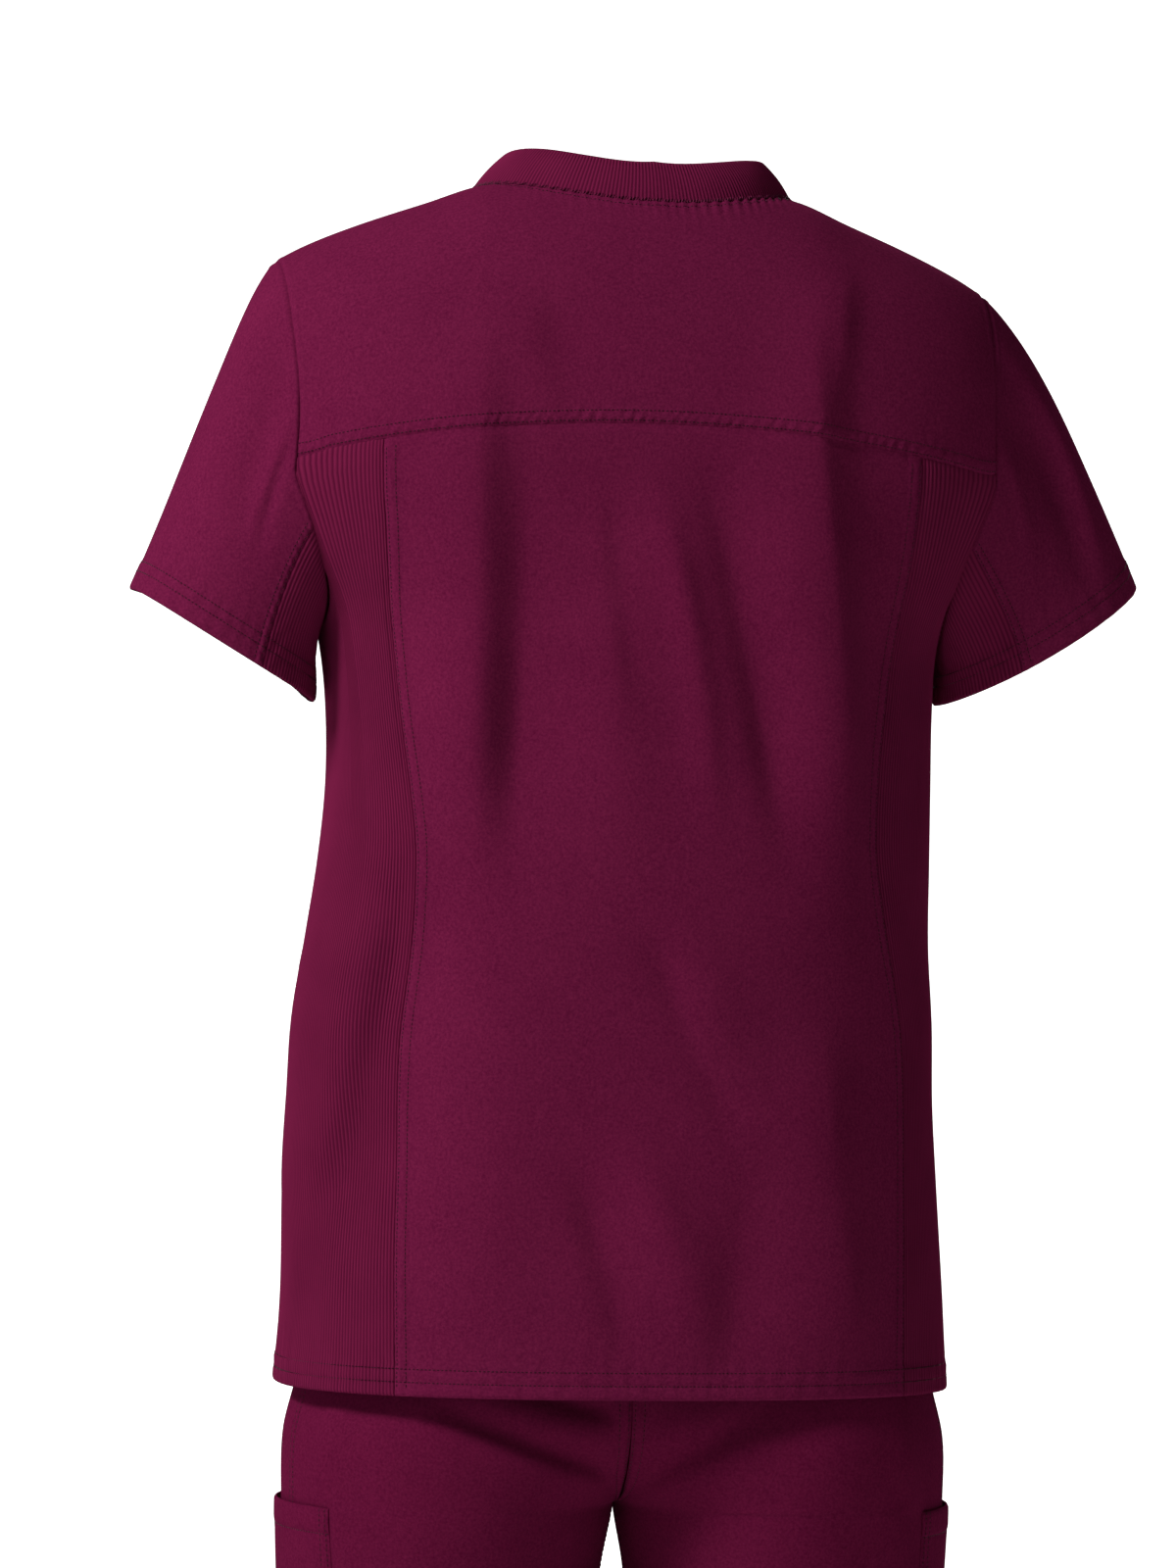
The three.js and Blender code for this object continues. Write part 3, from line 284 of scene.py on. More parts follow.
def signed_power(value, power):
    """A power that keeps the sign."""
    return np.sign(value) * np.abs(value) ** power


def refine(knots, step):
    """The knots with even steps between them, none wider than step."""
    values = [knots[0]]
    for a, b in zip(knots[:-1], knots[1:]):
        count = max(1, math.ceil(abs(b - a) / step))
        values.extend(np.linspace(a, b, count + 1)[1:])
    return np.array(values)


def spaced(length, step, start=(), end=()):
    """Shares from 0 to 1 of a length: steps, with closer ones at the distances in mm
    given from the start and from the end."""
    knots = [0, *start, *[length - d for d in reversed(end)], length]
    return refine(knots, step) / length


def run_along(line):
    """Length of a line from its start to each of its points."""
    return np.r_[0, np.cumsum(np.linalg.norm(np.diff(line, axis=0), axis=-1))]


def points_at(at, keys, line):
    """Points of a line at the given keys, straight between the known ones."""
    return np.stack([np.interp(at, keys, line[:, k]) for k in range(3)], axis=1)


def drifting_wave(s, pitch, drift, reach):
    """A wave along s whose pitch drifts: the sine of s over the pitch plus a slow sine."""
    return np.sin(2 * np.pi * (s / pitch + drift * np.sin(s / reach)))


def dimples(d, lines):
    """Depth of the dents that rows of stitches press into the cloth, as round troughs
    0.8 mm wide about each line, at distance d from the edge."""
    return sum(0.42 * np.exp(-(((d - line) / 0.8) ** 2)) for line in lines)


def rib_heights(ribs, shape, closed=False):
    """Share of the rib height at every point of a grid, four columns to a rib."""
    section = np.tile(RIB_SECTION, ribs)
    if not closed:
        section = np.r_[section, 0.0]
    return section[:, None] * np.ones(shape)


# The body of the top


def folds_on(rows, face, x, z):
    """Height of folds at (x, z): each is a rounded ridge about a bowed line, steeper on
    its narrower side, uneven along its length, and it fades toward both ends."""
    total = np.zeros(np.broadcast(x, z, face).shape)
    for index, (on, x0, z0, x1, z1, bow, plus, minus, height) in enumerate(rows):
        dx, dz = x1 - x0, z1 - z0
        length = math.hypot(dx, dz)
        along = ((x - x0) * dx + (z - z0) * dz) / length**2
        part = np.clip(along, 0, 1)
        wave = 0.05 * plus * np.sin(8 * part + 2.1 * index)
        across = ((x - x0) * -dz + (z - z0) * dx) / length - bow * np.sin(np.pi * part) - wave
        width = np.where(across > 0, plus, minus)
        fade = smooth(2.6 * part) * smooth(2.6 * (1 - part))
        uneven = 1 + 0.16 * np.sin(11 * part + 1.3 * index)
        total += np.where(on == face, height * fade * uneven * np.exp(-((across / width) ** 2)), 0)
    return total


def ridge(x):
    """Height of the shoulder's crest at x."""
    return between(RIDGE, "x", np.abs(x), "z") + SHOULDER_TILT * x


def ring_half(x, z):
    """Half width of a level ring of the top, toward the side of x."""
    return np.where(x >= 0, between(TOP_RINGS, "z", z, "left"), between(TOP_RINGS, "z", z, "right"))


def ring_reach(face, z):
    """Greatest depth of a level ring, on the back (face 1) or the front (face -1)."""
    back, front = between(TOP_RINGS, "z", z, "back"), between(TOP_RINGS, "z", z, "front")
    return np.where(np.asarray(face) > 0, back, front)


def ring_depth(x, z, face):
    """Depth of a level ring at x: a superellipse of its half width and its reach."""
    return ring_reach(face, z) * bulge(x / ring_half(x, z), RING_POWER)


def body_plain(x, height, face):
    """A point of the wall without folds. Up to the spring line height is z; above it,
    it is a length of arch, a superellipse from the wall to the crest and beyond."""
    angle = np.maximum(height - SPRING, 0) / ARCH_SCALE
    side = np.where(np.cos(angle) >= 0, face, -np.asarray(face))
    depth = ring_depth(x, np.minimum(height, SPRING), side)
    rise = ridge(x) - SPRING
    y = side * depth * np.abs(np.cos(angle)) ** (2 / ARCH_POWER)
    arch = SPRING + rise * np.maximum(np.sin(angle), 0) ** (2 / ARCH_POWER)
    z = np.where(height <= SPRING, height, arch)
    return np.stack(np.broadcast_arrays(x, y, z), axis=-1).astype(float)


def on_body(x, height, face):
    """A point of the wall with its folds, and the outward normal there."""
    point = body_plain(x, height, face)
    across = body_plain(x + 0.5, height, face) - body_plain(x - 0.5, height, face)
    up = body_plain(x, height + 0.5, face) - body_plain(x, height - 0.5, face)
    normal = unit(np.cross(across, up)) * -np.asarray(face, float)[..., None]
    rise = folds_on(TOP_FOLDS, np.asarray(face), point[..., 0], point[..., 2])
    return point + normal * rise[..., None], normal


def side_plain(angle, z):
    """The same wall by the angle round a level ring."""
    cosine, sine = np.cos(angle), np.sin(angle)
    level = np.minimum(z, SPRING)
    half = ring_half(cosine, level)
    depth = ring_reach(np.where(sine >= 0, 1, -1), level)
    radius = (np.abs(cosine / half) ** RING_POWER
              + np.abs(sine / depth) ** RING_POWER) ** (-1 / RING_POWER)
    x, y = radius * cosine, radius * sine
    share = np.clip((z - SPRING) / (ridge(x) - SPRING), 0, 1)
    y = y * np.where(z > SPRING, bulge(share, ARCH_POWER), 1)
    return np.stack(np.broadcast_arrays(x, y, z), axis=-1).astype(float)


def on_side(angle, z):
    """A point of the wall by angle, with its folds, and the outward normal there."""
    point = side_plain(angle, z)
    across = side_plain(angle + 0.004, z) - side_plain(angle - 0.004, z)
    up = side_plain(angle, z + 0.5) - side_plain(angle, z - 0.5)
    normal = unit(np.cross(across, up))
    face = np.where(np.sin(angle) >= 0, 1, -1)
    aside = smooth((np.abs(point[..., 0]) - 160) / 20)
    fade = mix(1, np.clip((-point[..., 2] - 230) / 60, 0, 1), aside)
    rise = folds_on(TOP_FOLDS, face, point[..., 0], point[..., 2]) * fade
    return point + normal * rise[..., None], normal


def height_of_place(place):
    """Length of arch at a place on the armhole."""
    return SPRING + ARCH_SCALE * (place - 1) * math.pi / 2


def arch_height(x, z):
    """Length of arch at (x, z), or z itself below the spring line."""
    share = np.clip((z - SPRING) / (ridge(x) - SPRING), 0, 1)
    return np.where(z <= SPRING, z, SPRING + ARCH_SCALE * np.arcsin(share ** (ARCH_POWER / 2)))


def yoke_height(x):
    """Height of the yoke seam, led to its corner on the armhole."""
    z = YOKE_MIDDLE - YOKE_DROP * (x / ARMHOLE_X) ** 2 + SHOULDER_TILT * 0.5 * x
    lead = np.clip((np.abs(x) - 196) / 17, 0, 1)
    return mix(arch_height(x, z), height_of_place(YOKE_PLACE), lead)


def back_neck_height(x):
    """Height of the back edge of the neck opening."""
    low = -18.5
    y = low + (NECK_BACK - low) * bulge(x / NECK_HALF, 2.2)
    depth = ring_depth(x, SPRING, np.where(y >= 0, 1, -1))
    cosine = signed_power(y / depth, ARCH_POWER / 2)
    return SPRING + ARCH_SCALE * np.arccos(np.clip(cosine, -1, 1))


def front_neck_height(x):
    """Height of the front edge of the neck opening: a plain V."""
    corner = height_of_place(4 - SHOULDER_PLACE)
    turn = math.sin((corner - SPRING) / ARCH_SCALE) ** (2 / ARCH_POWER)
    corner_z = SPRING + (ridge(np.float64(NECK_HALF)) - SPRING) * turn
    z = V_POINT + (corner_z - V_POINT) * (np.abs(x) / NECK_HALF) ** 1.15
    return np.minimum(corner, arch_height(x, z))


def place_of(u):
    """Place on the armhole from the underarm (0) to the crest (2), down either face."""
    return np.where(u < 0, -u, np.where(u > 2, 4 - u, u))


def armhole(side, u):
    """Points of the armhole seam, with normals, at places u from -0.79 to 4: above the
    spring line nearly upright, below it a superellipse that turns in to the underarm."""
    u = np.asarray(u, float)
    face = np.where((u >= 0) & (u <= 2), 1, -1)
    place = place_of(u)
    high_place = np.maximum(place, 1)
    high_x = side * (ARMHOLE_X + 2 * (high_place - 1))
    high, high_normal = on_body(high_x, height_of_place(high_place), face)
    turn = (1 - np.minimum(place, 1)) * math.pi / 2
    z = SPRING + (UNDERARM[side] - SPRING) * np.sin(turn) ** (2 / UNDERARM_POWER)
    spring_depth = ring_depth(np.float64(side * ARMHOLE_X), SPRING, face)
    y = face * spring_depth * np.maximum(0, np.cos(turn)) ** (2 / UNDERARM_POWER)
    x = side * ring_half(side, z) * bulge(y / ring_reach(face, z), RING_POWER)
    low, low_normal = on_side(np.arctan2(y, x), z)
    pick = (place >= 1)[..., None]
    return np.where(pick, high, low), np.where(pick, high_normal, low_normal)


def settled(points):
    """Points of the top, shifted along X by rounded bumps."""
    shift = 0
    for x, z, wide, high, amount in SHIFTS:
        shift = shift + amount * np.exp(-(((points[..., 0] - x) / wide) ** 2)
                                        - ((points[..., 2] - z) / high) ** 2)
    return points + shift[..., None] * np.array([1.0, 0, 0])


# Panels: a grid of points, columns by rows, and what is laid on it


class Panel:
    """A grid of points with outward normals, and distances over the cloth."""

    def __init__(self, points, normals=None, outward=None, closed=False):
        self.points = points
        self.closed = closed
        self.normals = self.grid_normals(outward) if normals is None else normals
        across = np.linalg.norm(np.diff(points, axis=0), axis=-1)
        along = np.linalg.norm(np.diff(points, axis=1), axis=-1)
        self.across = np.concatenate([np.zeros((1, points.shape[1])), np.cumsum(across, axis=0)])
        self.along = np.concatenate([np.zeros((points.shape[0], 1)), np.cumsum(along, axis=1)], axis=1)

    def grid_normals(self, outward):
        """Cross product of the grid's two directions, turned to the given side."""
        if self.closed:
            ring = np.concatenate([self.points[-1:], self.points, self.points[:1]])
            across = ring[2:] - ring[:-2]
        else:
            across = np.gradient(self.points, axis=0)
        normal = unit(np.cross(across, np.gradient(self.points, axis=1)))
        if outward is not None:
            middle = normal.shape[0] // 2, normal.shape[1] // 2
            if np.dot(normal[middle], outward(self.points[middle])) < 0:
                normal = -normal
        return normal

    def from_edge(self, edge):
        """Distance in mm of every point from an edge, over the cloth."""
        if edge == "first":
            return self.across
        if edge == "last":
            return self.across[-1:] - self.across
        if edge == "bottom":
            return self.along
        return self.along[:, -1:] - self.along

    def beside(self, edge):
        """Distance in mm of every point along an edge."""
        return self.along if edge in ("first", "last") else self.across

    def raise_by(self, height):
        """Moves the points out along their normals."""
        self.points = self.points + self.normals * height[..., None]

    def seam(self, edge, band=8.5, swell=0.45, pucker=0.25, pitch=7.0, groove=0.7):
        """A sewn edge: a groove at the seam, a flat swelling over the turned-in cloth as
        far as the second stitch line, a dimple at the stitches, and small puckers."""
        d = self.from_edge(edge)
        s = self.beside(edge)
        wave = drifting_wave(s, pitch, 0.35, 19) * (0.6 + 0.4 * np.sin(s / 31))
        height = -groove * np.exp(-((d / 1.1) ** 2))
        height += swell * smooth(d / 2) * smooth((band + 2.2 - d) / 2.2)
        height -= dimples(d, (SEAM_LINES[0], band))
        height += pucker * wave * np.exp(-((d / (band + 3)) ** 2))
        self.raise_by(height)

    def hem(self, edge, near, far, swell=0.6, pucker=0.3, pitch=11.0):
        """A turned-up hem: thicker as far as its upper stitch line, with a rounded edge,
        dimples at both lines and slow puckers between them."""
        d = self.from_edge(edge)
        wave = drifting_wave(self.beside(edge), pitch, 0.4, 23)
        height = swell * smooth((far + 2.5 - d) / 2.5) - 0.9 * np.exp(-((d / 0.9) ** 2))
        height -= dimples(d, (near, far))
        height += pucker * wave * np.exp(-(((d - 0.7 * far) / far) ** 2))
        self.raise_by(height)

    def line_at(self, edge, distance, skip=(0.0, 0.0)):
        """Points and normals of a line at a distance in mm from an edge, without the
        given lengths at its two ends."""
        d = self.from_edge(edge)
        points, normals = self.points, self.normals
        if edge in ("first", "last"):
            d, points, normals = d.T, points.transpose(1, 0, 2), normals.transpose(1, 0, 2)
        if edge in ("last", "top"):
            d, points, normals = d[:, ::-1], points[:, ::-1], normals[:, ::-1]
        rows = np.arange(len(d))
        i = np.clip((d < distance).sum(axis=1) - 1, 0, d.shape[1] - 2)
        span = np.maximum(d[rows, i + 1] - d[rows, i], 1e-6)
        t = np.clip((distance - d[rows, i]) / span, 0, 1)[:, None]
        line = mix(points[rows, i], points[rows, i + 1], t)
        normal = unit(mix(normals[rows, i], normals[rows, i + 1], t))
        run = run_along(line)
        keep = (run >= skip[0]) & (run <= run[-1] - skip[1])
        return line[keep], normal[keep]


def mesh_object(name, points, quads, material, uv=None, rib=None):
    """A mesh object from points in mm and quads, smooth but for sharp rims."""
    mesh = bpy.data.meshes.new(name)
    mesh.from_pydata((points * 0.001).tolist(), [], quads.tolist())
    mesh.polygons.foreach_set("use_smooth", np.ones(len(mesh.polygons), bool))
    if uv is not None:
        mesh.uv_layers.new(name="cloth").data.foreach_set("uv", (uv * 0.001).ravel())
    if rib is not None:
        values = mesh.attributes.new("rib", "FLOAT", "POINT").data
        values.foreach_set("value", rib.ravel().astype(np.float32))
    mesh.set_sharp_from_angle(angle=math.radians(62))
    mesh.materials.append(material)
    mesh.update()
    item = bpy.data.objects.new(name, mesh)
    bpy.context.scene.collection.objects.link(item)
    return item


def wall(name, panel, material, thick=CLOTH, rib=None):
    """A closed wall: the panel's grid, the same grid moved in by the cloth's
    thickness, and a rim round its edges. Columns run round a closed panel."""
    columns, rows = panel.points.shape[:2]
    thick = np.broadcast_to(np.asarray(thick, float), (columns, rows))
    outer = panel.points.reshape(-1, 3)
    inner = (panel.points - panel.normals * thick[..., None]).reshape(-1, 3)
    points = np.concatenate([outer, inner])
    c = np.arange(columns if panel.closed else columns - 1)
    n = (c + 1) % columns
    r = np.arange(rows - 1)
    a = (c[:, None] * rows + r).ravel()
    b = (n[:, None] * rows + r).ravel()
    under = columns * rows
    front = np.stack([a, b, b + 1, a + 1], axis=1)
    back = np.stack([a, a + 1, b + 1, b], axis=1) + under
    c0, n0 = c * rows, n * rows
    low = np.stack([c0 + under, n0 + under, n0, c0], axis=1)
    top = np.stack([c0, n0, n0 + under, c0 + under], axis=1) + rows - 1
    quads = [front, back, low, top]
    u = np.mean(panel.across, axis=1)
    v = np.mean(panel.along, axis=0)
    step = u[-1] / (columns - 1)
    u_here, u_next, v_here, v_next = u[c], np.where(n == 0, u[c] + step, u[n]), v[r], v[r + 1]
    ua, va = [grid.ravel() for grid in np.meshgrid(u_here, v_here, indexing="ij")]
    ub, vb = [grid.ravel() for grid in np.meshgrid(u_next, v_next, indexing="ij")]
    uv = [np.stack([ua, va, ub, va, ub, vb, ua, vb], axis=1),
          np.stack([ua, va, ua, vb, ub, vb, ub, va], axis=1)]
    for height in (v[0], v[-1]):
        level = np.full(len(c), height)
        uv.append(np.stack([u_here, level, u_next, level, u_next, level, u_here, level], axis=1))
    if not panel.closed:
        end = (columns - 1) * rows
        quads.append(np.stack([r + under, r, r + 1, r + 1 + under], axis=1))
        quads.append(np.stack([r + end, r + end + under, r + 1 + end + under, r + 1 + end], axis=1))
        for level in (u[0], u[-1]):
            flat = np.full(len(r), level)
            uv.append(np.stack([flat, v[r], flat, v[r], flat, v[r + 1], flat, v[r + 1]], axis=1))
    quads = np.concatenate(quads)
    uv = np.concatenate(uv).reshape(-1, 4, 2)
    p = points[quads]
    volume = np.einsum("ij,ij->", p[:, 0], np.cross(p[:, 1], p[:, 2]))
    volume += np.einsum("ij,ij->", p[:, 0], np.cross(p[:, 2], p[:, 3]))
    if volume < 0:
        quads, uv = quads[:, ::-1], uv[:, ::-1]
    if rib is not None:
        rib = np.concatenate([rib.ravel(), rib.ravel()])
    return mesh_object(name, points, quads, material, uv.reshape(-1, 2), rib)


def stitches(name, lines, material, pitch=2.5, length=1.8, radius=0.34, slant=0.0):
    """Threads laid along lines, one every pitch: each is a small bar of four sides that
    dips into the cloth at both ends. A slant in degrees turns each across its line."""
    centres, ways, outs = [], [], []
    for points, normals in lines:
        if len(points) < 2:
            continue
        run = run_along(points)
        at = np.arange(pitch / 2, run[-1], pitch)
        centres.append(points_at(at, run, points))
        ways.append(unit(points_at(at + 0.6, run, points) - points_at(at - 0.6, run, points)))
        outs.append(unit(points_at(at, run, normals)))
    centre, way, out = np.concatenate(centres), np.concatenate(ways), np.concatenate(outs)
    aside = unit(np.cross(out, way))
    cosine, sine = math.cos(math.radians(slant)), math.sin(math.radians(slant))
    way, aside = way * cosine + aside * sine, aside * cosine - way * sine
    half = length / 2
    rows = []
    rings = ((-half, 0, -0.25), (-half * 0.6, 1, 0.12), (half * 0.6, 1, 0.12), (half, 0, -0.25))
    for along, width, lift in rings:
        base = centre + way * along + out * lift
        if width == 0:
            rows.append(base[:, None])
            continue
        rows.append(np.stack([base + aside * radius, base + out * radius,
                              base - aside * radius, base - out * radius], axis=1))
    points = np.concatenate(rows, axis=1)
    faces = []
    for k in range(4):
        m = (k + 1) % 4
        faces.append((0, 1 + k, 1 + m))
        faces.append((1 + k, 5 + k, 5 + m))
        faces.append((1 + k, 5 + m, 1 + m))
        faces.append((9, 5 + m, 5 + k))
    faces = np.array(faces)
    quads = (np.arange(len(points))[:, None, None] * 10 + faces[None]).reshape(-1, 3)
    p = points.reshape(-1, 3)
    corner = p[quads[:16]] - centre[0]
    if np.einsum("ij,ij->", corner[:, 0], np.cross(corner[:, 1], corner[:, 2])) < 0:
        quads = quads[:, ::-1]
    return mesh_object(name, p, quads, material)


# Panels of the top


def mirrored(half):
    """The values with their mirror images before them."""
    return np.concatenate([-half[:0:-1], half])


def yoke_panel():
    """Yoke by the place of a column on the yoke seam and a share up to the neck edge
    inside the neck, or to the shoulder seam outside it."""
    half = refine([0, 60, 80, 90, 94, 96, 96.7, 97, 105, 200, 206, 209.6, 211.6, 213], 1.6)
    seam_x = mirrored(half)[:, None]
    t = spaced(150, 4.2, start=NEAR, end=(1, 2, 3.2, 5, 7, 9.5, 12))[None]
    inside = np.abs(seam_x) <= NECK_HALF
    end_x = np.where(inside, seam_x, seam_x / ARMHOLE_X * (ARMHOLE_X + 2))
    high = height_of_place(SHOULDER_PLACE)
    end = np.where(np.abs(seam_x) < NECK_HALF, back_neck_height(seam_x), high)
    x = mix(seam_x, end_x, t)
    points, normals = on_body(x, mix(yoke_height(seam_x), end, t), np.ones(x.shape))
    return Panel(settled(points), normals)


def back_seam_x(side, z):
    """Distance of a back seam from the middle, led to its corner on the yoke."""
    x = between(BACK_SEAM, "z", z, "left" if side > 0 else "right")
    return mix(x, YOKE_CORNER, np.clip((z + 200) / 45, 0, 1))


def back_panel():
    """Back panel by a share from seam to seam and a share of the height."""
    share = spaced(310, 3.0, start=NEAR, end=NEAR)[:, None] * 2 - 1
    along = spaced(570, 3.2, start=(0.7, 1.4, 2.4, 5, 7.4, 8.3, 9.2, 12, 15, 16, 17, 20), end=NEAR)[None]
    top_x = share * YOKE_CORNER
    top = yoke_height(top_x)
    top_z = body_plain(top_x, top, np.float64(1))[..., 2]
    z = mix(HEM, top_z, along)
    seam = mix(-back_seam_x(-1, z), back_seam_x(1, z), (share + 1) / 2)
    at_top = smooth((along - 0.98) / 0.02)
    x = mix(seam, top_x, at_top)
    height = mix(arch_height(x, z), top, at_top)
    points, normals = on_body(x, height, np.ones(x.shape))
    return Panel(settled(points), normals)


def front_seam_x(z, corner):
    """Distance of the front seam from the middle, led to its corner on the armhole."""
    level = np.minimum(z, corner[2])
    lift = np.clip((level + 300) / (corner[2] + 300), 0, 1)
    miss = abs(corner[0]) - between(FRONT_SEAM, "z", corner[2], "x")
    return between(FRONT_SEAM, "z", level, "x") + miss * lift**3


def side_panel(side):
    """Rib side panel and the height of its ribs, by columns that stand upright from the
    hem, four to a rib, and end where they meet the yoke seam or the armhole."""
    corner = armhole(side, np.array([-GUSSET_PLACE]))[0][0]

    def turned(angle):
        """An angle that runs on past the half turn on the right side."""
        return angle if side > 0 else np.where(angle < 0, angle + 2 * math.pi, angle)

    def back_angle(z):
        """Angle of the back seam round the ring at z."""
        x = side * back_seam_x(side, z)
        return turned(np.arctan2(ring_depth(x, np.minimum(z, SPRING), 1), x))

    def front_angle(z):
        """Angle of the front seam round the ring at z."""
        x = side * front_seam_x(z, corner)
        return turned(np.arctan2(-ring_depth(x, np.minimum(z, corner[2]), -1), x))

    def top_points(q):
        """Points of the upper edge: q runs along the yoke seam to 3, then round the
        armhole to 13."""
        yoke_x = side * np.interp(q, [0, 1, 2, 3], [YOKE_CORNER, 179, 196, ARMHOLE_X])
        on_yoke = on_body(yoke_x, yoke_height(yoke_x), np.ones(q.shape))[0]
        places = [YOKE_PLACE, 0.92, GUSSET_PLACE, 0.6, 0.4, 0.2,
                  0, -0.2, -0.4, -0.6, -GUSSET_PLACE]
        on_arm = armhole(side, np.interp(q, np.arange(3, 14), places))[0]
        return np.where((q < 3)[:, None], on_yoke, on_arm)

    dense = np.linspace(0, 13, 1400)
    top = top_points(dense)
    angle = turned(np.arctan2(top[:, 1], top[:, 0]))
    share = (angle - back_angle(top[:, 2])) / (front_angle(top[:, 2]) - back_angle(top[:, 2]))
    share = np.maximum.accumulate(np.clip(share, 0, 1))
    share[0], share[-1] = 0, 1
    fan = np.interp(dense, [0, 1, 2, 3, 4, 5, 6], [1, 0.8, 0.72, 0.66, 0.84, 0.97, 1])
    foot = np.maximum.accumulate(share * fan) + np.arange(len(dense)) * 1e-9
    foot = foot / foot[-1]
    turn = mix(back_angle(np.float64(HEM)), front_angle(np.float64(HEM)), np.linspace(0, 1, 600))
    rim = side_plain(turn, np.float64(HEM))
    run = run_along(rim)
    ribs = round(run[-1] / RIB_PITCH)
    at_foot = np.interp(np.linspace(0, run[-1], 4 * ribs + 1), run, np.linspace(0, 1, 600))
    q = np.interp(at_foot, foot, dense)
    tops = top_points(q)
    at_top = np.interp(q, dense, share)
    along = spaced(480, 8.8, start=(1, 2.4, 7.4, 8.3, 9.2, 15, 16, 17, 20), end=(1, 2.4, 5))[None]
    z = mix(HEM, tops[:, 2:3], along)
    blend = mix(at_foot[:, None], at_top[:, None], along**4)
    points, normals = on_side(mix(back_angle(z), front_angle(z), blend), z)
    points[:, -1] = tops
    return Panel(settled(points), normals), rib_heights(ribs, points.shape[:2])


def front_panel():
    """Front panel: level rows up to the front seam's corner, then rows that follow the
    armhole up to the shoulder seam and the neck edge."""
    half = refine([0, 60, 80, 90, 94, 96, 97, 105, 213], 5.5)
    seam_x = mirrored(half)[:, None]
    side = np.where(seam_x < 0, -1, 1)
    corners = {k: armhole(k, np.array([-GUSSET_PLACE]))[0][0] for k in (1, -1)}
    middle_z = (corners[1][2] + corners[-1][2]) / 2
    share = seam_x / ARMHOLE_X
    corner_z = np.where(side > 0, corners[1][2], corners[-1][2])
    level_z = mix(middle_z, corner_z, np.abs(share))
    high = height_of_place(4 - SHOULDER_PLACE)
    end = np.where(np.abs(seam_x) < NECK_HALF, front_neck_height(seam_x), high)
    along = spaced(500, 5.5, start=(1, 2.4, 7.4, 8.3, 9.2, 15, 16, 17, 20))[None]
    edge_z = mix(HEM, corner_z, along)
    edge_x = np.where(side > 0, front_seam_x(edge_z, corners[1]), front_seam_x(edge_z, corners[-1]))
    low_x, low_height = share * edge_x, mix(HEM, level_z, along)
    place = refine([GUSSET_PLACE, 1, 4 - SHOULDER_PLACE], 0.032)[None, 1:]
    edges = [armhole(k, -place[0])[0] for k in (1, -1)]
    ahead = np.where(side > 0, edges[0][None, :, 2], edges[1][None, :, 2])
    aside = np.abs(np.where(side > 0, edges[0][None, :, 0], edges[1][None, :, 0]))
    edge_height = np.where(place >= 1, height_of_place(place), ahead)
    rise = (edge_height - corner_z) / (high - corner_z)
    wide = np.where(place >= 1, ARMHOLE_X + 2 * np.maximum(0, place - 1), aside)
    straight = np.where(np.abs(seam_x) <= NECK_HALF, seam_x, share * wide)
    x = np.concatenate([low_x, mix(share * wide, straight, smooth(rise))], axis=1)
    height = np.concatenate([low_height, mix(level_z, end, rise)], axis=1)
    points, normals = on_body(x, height, -np.ones(x.shape))
    return Panel(settled(points), normals)


def collar_panel():
    """Rib band round the neck, by the run round the neck seam and a share from the seam
    to the free edge, which leans in at the back and lies in the chest's slope in front."""
    x = mirrored(refine([0, 80, 92, 96, 96.8, 97], 1.0))
    back = np.where(np.abs(x) < NECK_HALF, back_neck_height(x), height_of_place(SHOULDER_PLACE))
    inner_x = x[1:-1][::-1]
    base = np.concatenate([on_body(x, back, np.ones(x.shape))[0],
                           on_body(inner_x, front_neck_height(inner_x), -np.ones(inner_x.shape))[0]])
    ring_x = np.r_[x, inner_x]
    on_back = np.r_[np.ones(len(x)), np.zeros(len(inner_x))] > 0
    aside = np.abs(ring_x) / NECK_HALF
    edge = np.zeros(base.shape)
    edge[:, 0] = ring_x * 0.80
    front_rise = mix(COLLAR_RISE["point"], COLLAR_RISE["side"], np.minimum(1, aside * 1.6))
    rise = np.where(on_back, mix(COLLAR_RISE["back"], COLLAR_RISE["side"], aside), front_rise)
    edge[:, 2] = base[:, 2] + rise
    share = np.clip((edge[:, 2] - SPRING) / (ridge(edge[:, 0]) - SPRING), 0, 0.95)
    chest = -ring_depth(edge[:, 0], np.float64(SPRING), -1) * bulge(share, ARCH_POWER)
    standing = smooth((base[:, 2] + 75) / 70)
    edge[:, 1] = np.where(on_back, mix(base[:, 1] - 13, base[:, 1] + 4, aside**2),
                          mix(chest - 1, base[:, 1] + 4, standing))
    ribs = round(run_along(base)[-1] / RIB_PITCH)
    wrap = np.arange(len(base) + 1) % len(base)
    run = run_along(base[wrap])
    at = np.linspace(0, run[-1], 4 * ribs, endpoint=False)
    t = spaced(26, 2.6, start=(0.8, 1.6), end=(0.5, 1.0, 1.6, 2.4))[None, :, None]
    points = mix(points_at(at, run, base[wrap])[:, None], points_at(at, run, edge[wrap])[:, None], t)
    panel = Panel(settled(points), outward=lambda p: p - np.array([0, 0, -20]), closed=True)
    panel.raise_by(1.4 * np.sin(np.pi * t[..., 0]) * np.ones(points.shape[:2]))
    return panel, rib_heights(ribs, points.shape[:2], closed=True)


# Sleeves


